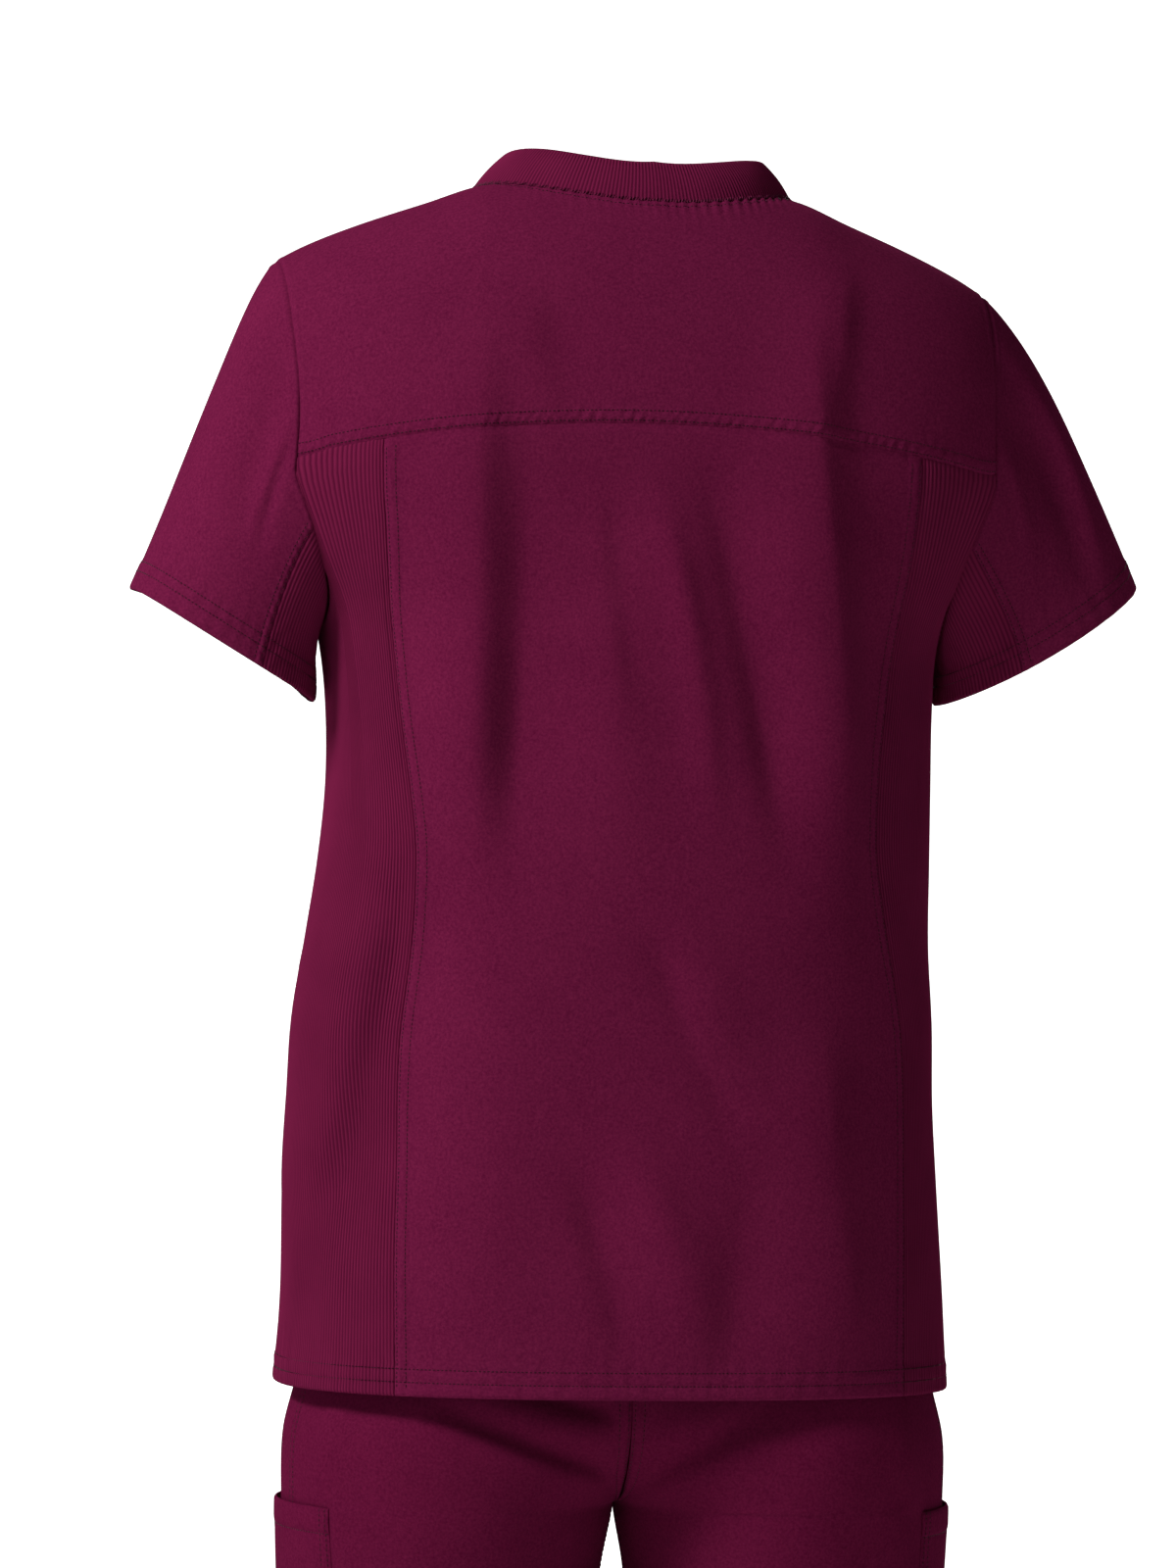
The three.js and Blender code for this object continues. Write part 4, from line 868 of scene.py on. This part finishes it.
def sleeve_panel(side, u, t):
    """Part of a sleeve by the place round the armhole and a share down to the cuff:
    smooth curves leave the armhole outward and turn down toward the cuff's ring."""
    cuff = CUFF[side]
    outer = np.array([cuff["outer"][0], 0, cuff["outer"][1]], float)
    inner = np.array([cuff["inner"][0], 0, cuff["inner"][1]], float)
    centre, major = (outer + inner) / 2, (outer - inner) / 2
    outward = unit(np.array([-major[2], 0, major[0]]))
    if outward[2] > 0:
        outward = -outward
    start = armhole(side, u)[0]
    back = (u >= 0) & (u <= 2)
    place = place_of(u)
    angle = np.where(place <= GUSSET_PLACE, mix(-90, GUSSET_CUFF_ANGLE, place / GUSSET_PLACE),
                     mix(GUSSET_CUFF_ANGLE, 90, (place - GUSSET_PLACE) / (2 - GUSSET_PLACE)))
    angle = np.radians(np.where(back, angle, 180 - angle))
    depth_share = signed_power(np.cos(angle), 0.95)
    drop = cuff["sag"] * depth_share**2 - cuff["lift"] * np.minimum(0, depth_share) ** 2
    end = centre + major * signed_power(np.sin(angle), 0.95)[:, None] + outward * drop[:, None]
    end[:, 1] += cuff["half_depth"] * depth_share
    end[:, 0] *= side
    top = ridge(np.float64(side * ARMHOLE_X))
    height = np.clip((start[:, 2] - UNDERARM[side]) / (top - UNDERARM[side]), 0, 1)
    lean = np.clip(start[:, 1] / 66, -1, 1)
    leave = np.stack([side * (0.45 + cuff["level"] * height**2), -0.17 * lean, 0 * lean], axis=1)
    leave[:, 2] = -np.sqrt(np.maximum(0.05, 1 - leave[:, 0] ** 2 - leave[:, 1] ** 2))
    inward = side * (0.12 + 0.32 * height)
    arrive = unit(np.stack([inward, -0.06 * lean, -np.ones(len(u))], axis=1))
    reach = np.linalg.norm(start - end, axis=1)[:, None]
    near = start + leave * reach * mix(0.30, 0.17, height)[:, None]
    far = end - arrive * reach * mix(0.33, 0.44, height)[:, None]
    t = t[None, :, None]
    s = 1 - t
    points = (start[:, None] * s**3 + near[:, None] * 3 * s**2 * t
              + far[:, None] * 3 * s * t**2 + end[:, None] * t**3)
    middle = np.array([side * 250, 0, -190])
    panel = Panel(settled(points), outward=lambda p: p - middle)
    fold = np.zeros(points.shape[:2])
    for index, (on, at, first, last, width, high) in enumerate(SLEEVE_FOLDS):
        if on != side:
            continue
        share = (t[0, :, 0] - first) / (last - first)
        live = np.sin(np.pi * np.clip(share, 0, 1))
        drift = 0.05 * np.sin(5 * t[0, :, 0] + index)
        fold += high * live * np.exp(-(((u[:, None] - at - drift) / width) ** 2))
    panel.raise_by(fold)
    return panel


# Trousers


def leg_plain(side, degrees, z, cut=0.05):
    """A point of one leg and its outward normal, by the angle round the leg from the
    side seam: a superellipse about the leg's centre line. Above the crotch the ring
    ends at the middle seam, which rises in a curve from the crotch."""
    face = np.where(degrees >= 0, 1, -1)
    centre = between(LEG_RINGS, "z", z, "centre")
    outer = between(LEG_RINGS, "z", z, "outer")
    inner = between(LEG_RINGS, "z", z, "inner")
    back, front = between(LEG_RINGS, "z", z, "back"), between(LEG_RINGS, "z", z, "front")
    depth = np.where(face > 0, back, front)
    rise = np.where(face > 0, CROTCH_RISE[1], CROTCH_RISE[-1])
    share = 0.985 * bulge(1 - np.clip((z - CROTCH) / rise, 0, 1), 2.2)
    above = z > CROTCH - 0.01
    inner = np.where(above, (centre - cut) / bulge(share, LEG_POWER), inner)
    end = np.where(above, np.arctan2(share * depth, -(centre - cut)), math.pi)
    asked = np.radians(np.abs(degrees))
    first = math.radians(SIDE_SEAM_ANGLE)
    spread = np.where(face > 0, (asked - first) / (math.pi - first), asked / math.pi)
    angle = np.where(face > 0, first + (end - first) * spread, end * spread)
    cosine, sine = np.cos(angle), np.sin(angle)
    half = np.where(cosine >= 0, outer, inner)
    radius = ((np.abs(cosine) / half) ** LEG_POWER
              + (np.abs(sine) / depth) ** LEG_POWER) ** (-1 / LEG_POWER)
    x = centre + radius * cosine
    y = radius * sine
    normal = unit(np.stack(np.broadcast_arrays(
        signed_power(cosine * radius / half, LEG_POWER - 1) / half,
        signed_power(sine * radius / depth, LEG_POWER - 1) / depth * face,
        0 * x), axis=-1))
    point = np.stack(np.broadcast_arrays(x, y * face, z), axis=-1).astype(float)
    quiet = 1 - smooth((spread - 0.93) / 0.06) * smooth((z - CROTCH + 30) / 30)
    fold = leg_fold(side, degrees, z) * quiet
    point = point + normal * fold[..., None]
    point[..., 0] *= side
    normal[..., 0] *= side
    return point, normal


def leg_fold(side, degrees, z):
    """Height of the folds of a leg, each about a line in the plane of angle and height."""
    total = np.zeros(np.broadcast(degrees, z).shape)
    for on, angle0, z0, angle1, z1, width, height in LEG_FOLDS:
        if on != side:
            continue
        ax, az = 1.5 * (angle1 - angle0), z1 - z0
        length = math.hypot(ax, az)
        px, pz = 1.5 * (degrees - angle0), z - z0
        along = (px * ax + pz * az) / length**2
        across = (px * az - pz * ax) / length
        live = np.sin(np.pi * np.clip(along, 0, 1))
        total += height * live * np.exp(-((across / width) ** 2))
    return total


def placed_hips(points, normals):
    """The trousers turned about the upright axis, then shifted sideways."""
    turn = math.radians(TROUSER_TURN)
    cosine, sine = math.cos(turn), math.sin(turn)
    spin = np.array([[cosine, sine, 0], [-sine, cosine, 0], [0, 0, 1]])
    return points @ spin + np.array([TROUSER_SHIFT, 0, 0]), normals @ spin


def leg_panel(side, degrees, z):
    """Part of a leg, columns by angle and rows by height."""
    points, normals = leg_plain(side, degrees[:, None], z[None])
    return Panel(*placed_hips(points, normals))


def waistband_panel():
    """Waistband, one closed ring that follows the top of both legs."""
    half = refine([-180, -90, SIDE_SEAM_ANGLE, 100, 180], 4.0)
    z = refine(WAIST, 5.0)[None]
    first, first_normal = leg_plain(1, half[:-1][:, None], z, cut=0)
    back = half[half < 180][::-1][:-1]
    second, second_normal = leg_plain(-1, np.r_[180, back][:, None], z, cut=0)
    points = np.concatenate([first, second])
    normals = np.concatenate([first_normal, second_normal])
    return Panel(*placed_hips(points, normals), closed=True)


def pocket_panel(side):
    """Cargo pocket: the leg's own points, moved out, fuller toward the mouth."""
    degrees = refine([POCKET_BACK_ANGLE[side], SIDE_SEAM_ANGLE, POCKET_FRONT_ANGLE], 2.0)
    by_the_hem = (0.7, 1.4, 12, 14.5, POCKET_HEM, 16.1, 19)
    share = spaced(POCKET_LENGTH, 3.5, start=by_the_hem, end=(0.8, 1.6, 2.4, 4))
    z = POCKET_TOP - POCKET_LENGTH * share
    points, normals = leg_plain(side, degrees[:, None], z[None])
    across = np.sin(np.pi * np.linspace(0, 1, len(degrees)))[:, None]
    down = 1 - ((z[None] - POCKET_TOP) / -POCKET_LENGTH) ** 2
    points = points + normals * (1.6 + 2.0 * across * down)[..., None]
    return Panel(*placed_hips(points, normals))


# Materials


def colour(code):
    """Linear colour of an sRGB hex value."""
    channels = np.array([int(code[i:i + 2], 16) for i in (1, 3, 5)]) / 255
    linear = np.where(channels <= 0.04045, channels / 12.92, ((channels + 0.055) / 1.055) ** 2.4)
    return (*[float(value) for value in linear], 1.0)


def node(tree, kind, settings=(), inputs=(), links=()):
    """Adds a node: its settings, the values of its inputs, and the sockets linked to them."""
    item = tree.nodes.new(kind)
    for name, value in dict(settings).items():
        setattr(item, name, value)
    for name, value in dict(inputs).items():
        item.inputs[name].default_value = value
    for name, socket in dict(links).items():
        tree.links.new(socket, item.inputs[name])
    return item


def new_material(name):
    """An empty material with its output node."""
    material = bpy.data.materials.new(name)
    material.use_nodes = True
    material.node_tree.nodes.clear()
    return material, material.node_tree


def ramp(item, stops):
    """Sets the two colours of a ramp node and where they lie."""
    for element, (place, code) in zip(item.color_ramp.elements, stops):
        element.position = place
        element.color = colour(code)


def woven_cloth(name, light, dark, grain=0.10):
    """Polyester and rayon stretch twill, piece-dyed: matt, with a soft bloom from short
    fibres at grazing angles and a fine dry grain. The dye lies a little unevenly."""
    material, tree = new_material(name)
    place = node(tree, "ShaderNodeTexCoord")
    cloud = node(tree, "ShaderNodeTexNoise", inputs={"Scale": 17.0, "Detail": 3.0, "Roughness": 0.55},
                 links={"Vector": place.outputs["Object"]})
    fibre = node(tree, "ShaderNodeTexNoise", inputs={"Scale": 620.0, "Detail": 2.0, "Roughness": 0.6},
                 links={"Vector": place.outputs["Object"]})
    share = node(tree, "ShaderNodeMath", {"operation": "MULTIPLY_ADD"}, {1: 0.95, 2: 0.17},
                 {0: fibre.outputs["Fac"]})
    both = node(tree, "ShaderNodeMath", {"operation": "MULTIPLY_ADD"}, {1: 0.25},
                {0: cloud.outputs["Fac"], 2: share.outputs["Value"]})
    colour_ramp = node(tree, "ShaderNodeValToRGB", links={"Fac": both.outputs["Value"]})
    ramp(colour_ramp, ((0.50, dark), (1.0, light)))
    # The twill line is 0.5 mm in the cloth and is drawn at 1.4 mm, so that it shows.
    twill = node(tree, "ShaderNodeTexWave", {"wave_type": "BANDS", "bands_direction": "DIAGONAL"},
                 {"Scale": 110.0, "Distortion": 1.2, "Detail": 1.0, "Detail Scale": 2.0},
                 {"Vector": place.outputs["UV"]})
    height = node(tree, "ShaderNodeMath", {"operation": "MULTIPLY_ADD"}, {1: 0.5},
                  {0: twill.outputs["Fac"], 2: fibre.outputs["Fac"]})
    bump = node(tree, "ShaderNodeBump", inputs={"Strength": grain, "Distance": 0.0006},
                links={"Height": height.outputs["Value"]})
    rough = node(tree, "ShaderNodeMapRange", inputs={"To Min": 0.56, "To Max": 0.70},
                 links={"Value": cloud.outputs["Fac"]})
    shader = node(tree, "ShaderNodeBsdfPrincipled",
                  inputs={"IOR": 1.46, "Specular IOR Level": 0.0, "Sheen Weight": 0.02,
                          "Sheen Roughness": 0.4, "Sheen Tint": colour("#ff7fb0")},
                  links={"Base Color": colour_ramp.outputs["Color"], "Roughness": rough.outputs["Result"],
                         "Normal": bump.outputs["Normal"]})
    node(tree, "ShaderNodeOutputMaterial", links={"Surface": shader.outputs["BSDF"]})
    return material


def rib_knit(name, crest, groove):
    """Two-by-two rib knit of the same fibre: matt crests that catch the light, and grooves
    between them painted darker as painted shade, 2.3 mm from crest to crest, with small
    stitches along each. The crests keep the knit's own colour."""
    material, tree = new_material(name)
    place = node(tree, "ShaderNodeTexCoord")
    rib = node(tree, "ShaderNodeAttribute", {"attribute_name": "rib"})
    cloud = node(tree, "ShaderNodeTexNoise", inputs={"Scale": 21.0, "Detail": 3.0},
                 links={"Vector": place.outputs["Object"]})
    fibre = node(tree, "ShaderNodeTexNoise", inputs={"Scale": 700.0, "Detail": 1.0},
                 links={"Vector": place.outputs["Object"]})
    # The rib height sets the colour: the grooves get the dark colour, which is painted shade, and the
    # crests the knit's own colour; the cloud adds a tone that differs at random.
    share = node(tree, "ShaderNodeMath", {"operation": "MULTIPLY_ADD"}, {1: 0.75, 2: -0.02},
                 {0: rib.outputs["Fac"]})
    both = node(tree, "ShaderNodeMath", {"operation": "MULTIPLY_ADD"}, {1: 0.45},
                {0: cloud.outputs["Fac"], 2: share.outputs["Value"]})
    colour_ramp = node(tree, "ShaderNodeValToRGB", links={"Fac": both.outputs["Value"]})
    ramp(colour_ramp, ((0.12, groove), (0.85, crest)))
    bump = node(tree, "ShaderNodeBump", inputs={"Strength": 0.12, "Distance": 0.0005},
                links={"Height": fibre.outputs["Fac"]})
    shader = node(tree, "ShaderNodeBsdfPrincipled",
                  inputs={"Roughness": 0.72, "IOR": 1.46, "Specular IOR Level": 0.0, "Sheen Weight": 0.02,
                          "Sheen Roughness": 0.45, "Sheen Tint": colour("#ff7fb0")},
                  links={"Base Color": colour_ramp.outputs["Color"], "Normal": bump.outputs["Normal"]})
    node(tree, "ShaderNodeOutputMaterial", links={"Surface": shader.outputs["BSDF"]})
    return material


def sewing_thread(name, light, dark):
    """Spun polyester thread, dyed to match: a faint gloss along each stitch."""
    material, tree = new_material(name)
    place = node(tree, "ShaderNodeTexCoord")
    twist = node(tree, "ShaderNodeTexNoise", inputs={"Scale": 900.0, "Detail": 1.0},
                 links={"Vector": place.outputs["Object"]})
    colour_ramp = node(tree, "ShaderNodeValToRGB", links={"Fac": twist.outputs["Fac"]})
    ramp(colour_ramp, ((0.35, dark), (0.7, light)))
    shader = node(tree, "ShaderNodeBsdfPrincipled",
                  inputs={"Roughness": 0.6, "IOR": 1.5, "Specular IOR Level": 0.12},
                  links={"Base Color": colour_ramp.outputs["Color"]})
    node(tree, "ShaderNodeOutputMaterial", links={"Surface": shader.outputs["BSDF"]})
    return material


def studio_paper(name, code, near, far):
    """Matt white background paper with a slight glow of its own: near the set it only
    softens the shadows, and far behind it, from y = -5 m on, it burns out to white."""
    material, tree = new_material(name)
    place = node(tree, "ShaderNodeTexCoord")
    parts = node(tree, "ShaderNodeSeparateXYZ", links={"Vector": place.outputs["Object"]})
    reach = {"From Min": -3.0, "From Max": -5.5, "To Min": near, "To Max": far}
    glow = node(tree, "ShaderNodeMapRange", inputs=reach,
                links={"Value": parts.outputs["Y"]})
    shader = node(tree, "ShaderNodeBsdfPrincipled",
                  inputs={"Base Color": colour(code), "Roughness": 0.95, "Specular IOR Level": 0.1,
                          "Emission Color": colour("#ffffff")},
                  links={"Emission Strength": glow.outputs["Result"]})
    node(tree, "ShaderNodeOutputMaterial", links={"Surface": shader.outputs["BSDF"]})
    return material


CLOTH_TOP = woven_cloth("woven_stretch_twill", "#721e44", "#591134")
CLOTH_LEG = woven_cloth("woven_stretch_twill_trousers", "#69183c", "#520d2e")
# The rib knit's second colour is painted shade for its grooves; the first is the knit's own colour.
RIB = rib_knit("rib_knit", "#6f1c40", "#480c29")
# The thread of the neck lies on the knit and is a shade lighter than the rest.
THREAD = sewing_thread("spun_polyester_thread", "#4a0b29", "#2e0419")
NECK_THREAD = sewing_thread("spun_polyester_thread_neck", "#68183e", "#480b29")

# Making the pieces


def finish_cloth(name, item):
    """Ties a cut piece to its body and hides the CAD part of the same name."""
    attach(item, "root")
    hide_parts(name)


def finish_thread(item):
    """Ties a row of stitches to its body."""
    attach(item, "root")


def make_top():
    """The ten cut pieces of the top, with their seams, hems and stitch lines."""
    yoke = yoke_panel()
    neck = yoke.from_edge("top")
    under_neck = np.abs(yoke.points[:, -1:, 0]) < 96
    ripple = drifting_wave(yoke.points[..., 0], 6.1, 0.3, 13)
    stronger = 0.35 + 0.65 * np.exp(-(((yoke.points[..., 0] + 62) / 55) ** 2))
    yoke.raise_by(np.where(under_neck, 0.7 * ripple * stronger * np.exp(-((neck / 13) ** 2)), 0))
    puckered = 0.35 + 0.35 * np.sin(2 * np.pi * yoke.beside("bottom") / 57) ** 2
    slant = yoke.beside("bottom") + 0.7 * yoke.from_edge("bottom")
    in_the_band = np.exp(-(((yoke.from_edge("bottom") - 4.6) / 3.6) ** 2))
    folds = drifting_wave(slant, 7.1, 0.35, 17) * in_the_band
    yoke.raise_by(0.7 * puckered * folds)
    yoke.seam("bottom", band=7.7, pucker=0.2, pitch=6.4)
    yoke.seam("first", band=6, swell=0.2, pucker=0.15)
    yoke.seam("last", band=6, swell=0.2, pucker=0.15)
    finish_cloth("yoke", wall("yoke_cloth", yoke, CLOTH_TOP))

    back = back_panel()
    back.seam("first", band=7.4, swell=0.55, pucker=0.3, pitch=8.2)
    back.seam("last", band=7.4, swell=0.55, pucker=0.3, pitch=8.2)
    back.seam("top", band=2, swell=0.0, pucker=0.3, pitch=6.4)
    back.hem("bottom", *HEM_LINES)
    item = wall("back_panel_cloth", back, CLOTH_TOP)
    finish_cloth("back_panel", item)

    front = front_panel()
    front.seam("first", band=7.4, swell=0.4, pucker=0.2)
    front.seam("last", band=7.4, swell=0.4, pucker=0.2)
    front.hem("bottom", *HEM_LINES)
    item = wall("front_panel_cloth", front, CLOTH_TOP)
    finish_cloth("front_panel", item)

    collar, rib = collar_panel()
    free = collar.from_edge("top")
    collar.raise_by(RIB_HEIGHT * rib * smooth(free / 1.2) * 0.9 - 1.3 * np.exp(-((free / 0.9) ** 2)))
    item = wall("collar_rib", collar, RIB, thick=COLLAR_CLOTH, rib=rib)
    finish_cloth("collar", item)

    lines = [yoke.line_at("bottom", 1.8), yoke.line_at("bottom", 7.7)]
    lines += [back.line_at(edge, d, (4, 4)) for edge in ("first", "last") for d in SEAM_LINES]
    lines += [front.line_at(edge, d, (4, 4)) for edge in ("first", "last") for d in SEAM_LINES]
    lines += [panel.line_at("bottom", d) for panel in (back, front) for d in HEM_LINES]
    neck_line = yoke.line_at("top", 5.0)
    inside = np.abs(neck_line[0][:, 0]) < 94
    lines.append((neck_line[0][inside], neck_line[1][inside]))

    for word, side in (("left", 1), ("right", -1)):
        panel, rib = side_panel(side)
        to_top = smooth(panel.from_edge("top") / 3)
        panel.raise_by(RIB_HEIGHT * (rib - 0.5) * to_top)
        for edge in ("first", "last"):
            panel.seam(edge, band=3, swell=0.1, pucker=0.2, pitch=8.2)
        panel.seam("top", band=3, swell=0.1, pucker=0.1)
        panel.hem("bottom", *HEM_LINES)
        item = wall(f"side_panel_{word}_rib", panel, RIB, rib=rib)
        finish_cloth(f"side_panel_{word}", item)
        lines += [panel.line_at("bottom", d) for d in HEM_LINES]

        to_the_hem = (0.7, 1.4, 3, 9, 10.4, 11.3, 12.2, 15, 16.6, 17.5, 18.4)
        down = spaced(200, 3.4, start=(0.8, 1.6, 3), end=to_the_hem)
        u = mix(GUSSET_PLACE, 4 - GUSSET_PLACE, spaced(340, 3.4, start=NEAR, end=NEAR))
        sleeve = sleeve_panel(side, u, down)
        sleeve.seam("bottom", band=5, swell=0.3, pucker=0.3, pitch=9, groove=1.0)
        for edge in ("first", "last"):
            sleeve.seam(edge, band=6.0, swell=0.45, pucker=0.3)
        sleeve.hem("top", *CUFF_LINES)
        item = wall(f"sleeve_{word}_cloth", sleeve, CLOTH_TOP)
        finish_cloth(f"sleeve_{word}", item)
        u = np.linspace(-GUSSET_PLACE, GUSSET_PLACE, 4 * GUSSET_RIBS + 1)
        down = spaced(120, 4.5, start=(0.8, 1.6, 3), end=(0.7, 1.4, 3, 10.4, 11.3, 12.2, 16.6, 17.5, 18.4))
        gusset = sleeve_panel(side, u, down)
        rib = rib_heights(GUSSET_RIBS, gusset.points.shape[:2])
        gusset.raise_by(RIB_HEIGHT * (rib - 0.5) * smooth(gusset.from_edge("bottom") / 3))
        gusset.seam("bottom", band=3, swell=0.1, pucker=0.1, groove=1.0)
        gusset.hem("top", *CUFF_LINES)
        item = wall(f"sleeve_gusset_{word}_rib", gusset, RIB, rib=rib)
        finish_cloth(f"sleeve_gusset_{word}", item)
        lines += [sleeve.line_at(edge, d, (3, 3)) for edge in ("first", "last") for d in SLEEVE_LINES]
        lines += [part.line_at("top", d) for part in (sleeve, gusset) for d in CUFF_LINES]
    finish_thread(stitches("top_stitching", lines, THREAD))

    seam = collar.line_at("bottom", 0.6)
    ring = np.concatenate([seam[0], seam[0][:1]]), np.concatenate([seam[1], seam[1][:1]])
    item = stitches("neck_coverstitch", [ring], NECK_THREAD, pitch=1.9, length=3.2, radius=0.45, slant=62)
    finish_thread(item)


def make_trousers():
    """The seven cut pieces of the trousers, with their seams, hems and stitch lines."""
    fine = refine([WAIST[1], -690], 9.0)
    rows = np.concatenate([fine, refine([-690, -783, -785, -787, -880], 3.4)[1:],
                           refine([-880, -985, -1500], 9.0)[1:],
                           refine([-1500, -1520, -1522, -1546.6, ANKLE], 4.0)[1:]])
    lines = []
    waist = waistband_panel()
    finish_cloth("waistband", wall("waistband_cloth", waist, CLOTH_LEG))
    for word, side in (("left", 1), ("right", -1)):
        degrees = mix(SIDE_SEAM_ANGLE, 180, spaced(250, 4.2, start=NEAR, end=NEAR))
        back = leg_panel(side, degrees, rows)
        for edge in ("first", "last"):
            back.seam(edge, band=7.4, swell=0.4, pucker=0.3)
        back.hem("top", *ANKLE_LINES)
        item = wall(f"trouser_back_{word}_cloth", back, CLOTH_LEG)
        finish_cloth(f"trouser_back_{word}", item)
        degrees = mix(SIDE_SEAM_ANGLE, -180, spaced(300, 6.5, start=(0.8, 2), end=(0.8, 2)))
        front = leg_panel(side, degrees, rows)
        for edge in ("first", "last"):
            front.seam(edge, band=3, swell=0.1, pucker=0.2)
        front.hem("top", *ANKLE_LINES)
        item = wall(f"trouser_front_{word}_cloth", front, CLOTH_LEG)
        finish_cloth(f"trouser_front_{word}", item)
        pocket = pocket_panel(side)
        pocket.hem("bottom", POCKET_HEM, POCKET_HEM, pucker=0.25)
        for edge in ("first", "last", "top"):
            pocket.seam(edge, band=6, swell=0.3, pucker=0.25, groove=1.2)
        item = wall(f"cargo_pocket_{word}_cloth", pocket, CLOTH_LEG)
        finish_cloth(f"cargo_pocket_{word}", item)
        lines += [back.line_at("last", d, (60, 600)) for d in SEAM_LINES]
        lines += [back.line_at("first", d, (60, 4)) for d in SEAM_LINES]
        lines += [panel.line_at("top", d) for panel in (back, front) for d in ANKLE_LINES]
        lines += [pocket.line_at(edge, d) for edge in ("first", "last", "top") for d in POCKET_LINES]
        lines.append(pocket.line_at("bottom", POCKET_HEM))
    finish_thread(stitches("trouser_stitching", lines, THREAD, pitch=3.0, length=2.1))


make_top()
make_trousers()

# Studio


def make_stage():
    """A pale floor that sweeps up into a far backdrop, wide enough for every view."""
    level = [(-16.0, -1.56), (6.0, -1.56), (8.0, -1.48), (10.0, -1.25)]
    path = level + [(12.0, -0.7), (13.5, 0.8), (14.0, 3.0), (14.0, 12.0)]
    points = []
    for across in (-16.0, 16.0):
        for distance, height in path:
            points.append((across * 1000, -distance * 1000, height * 1000))
    count = len(path)
    quads = np.array([(i, i + count, i + count + 1, i + 1) for i in range(count - 1)])
    paper = studio_paper("background_paper", "#f4f2f0", 0.12, 1.05)
    item = mesh_object("studio_sweep", np.array(points), quads, paper)


def area_light(name, place, aim, size, power, tint):
    """A soft square light, turned to face a point."""
    data = bpy.data.lights.new(name, "AREA")
    data.size = size
    data.energy = power
    data.color = colour(tint)[:3]
    item = bpy.data.objects.new(name, data)
    bpy.context.scene.collection.objects.link(item)
    item.location = place
    way = np.array(aim) - np.array(place)
    item.rotation_euler = (math.atan2(math.hypot(way[0], way[1]), -way[2]), 0.0,
                           math.atan2(way[1], way[0]) - math.pi / 2)
    return item


def make_camera():
    """A long lens 4.5 m behind the set, a little to its right, rolled by one degree."""
    data = bpy.data.cameras.new("camera")
    data.lens = 171.6
    data.sensor_width = 36.0
    data.clip_end = 60.0
    item = bpy.data.objects.new("camera", data)
    bpy.context.scene.collection.objects.link(item)
    turn = math.radians(170)
    aim = np.array([0.0187, -0.0033, -0.355])
    item.location = aim + 4.5 * np.array([math.sin(turn), -math.cos(turn), 0.0])
    item.rotation_euler = (math.radians(90), math.radians(CAMERA_ROLL), turn)
    bpy.context.scene.camera = item


CAMERA_ROLL = -1.0
make_stage()
area_light("key", (2.5, 1.25, 1.75), (0.0, 0.0, -0.2), 0.7, 111.0, "#fff8fb")
area_light("fill", (1.9, 4.3, 0.5), (0.0, 0.0, -0.4), 1.6, 7.0, "#fff0f4")
area_light("front", (-1.6, -4.2, 1.6), (0.0, 0.0, -0.6), 1.8, 60.0, "#fff4f6")
make_camera()
world = bpy.data.worlds.new("studio")
world.use_nodes = True
world.node_tree.nodes["Background"].inputs["Color"].default_value = colour("#e9e4e4")
world.node_tree.nodes["Background"].inputs["Strength"].default_value = 0.12
bpy.context.scene.world = world
bpy.context.scene.view_settings.view_transform = "Standard"
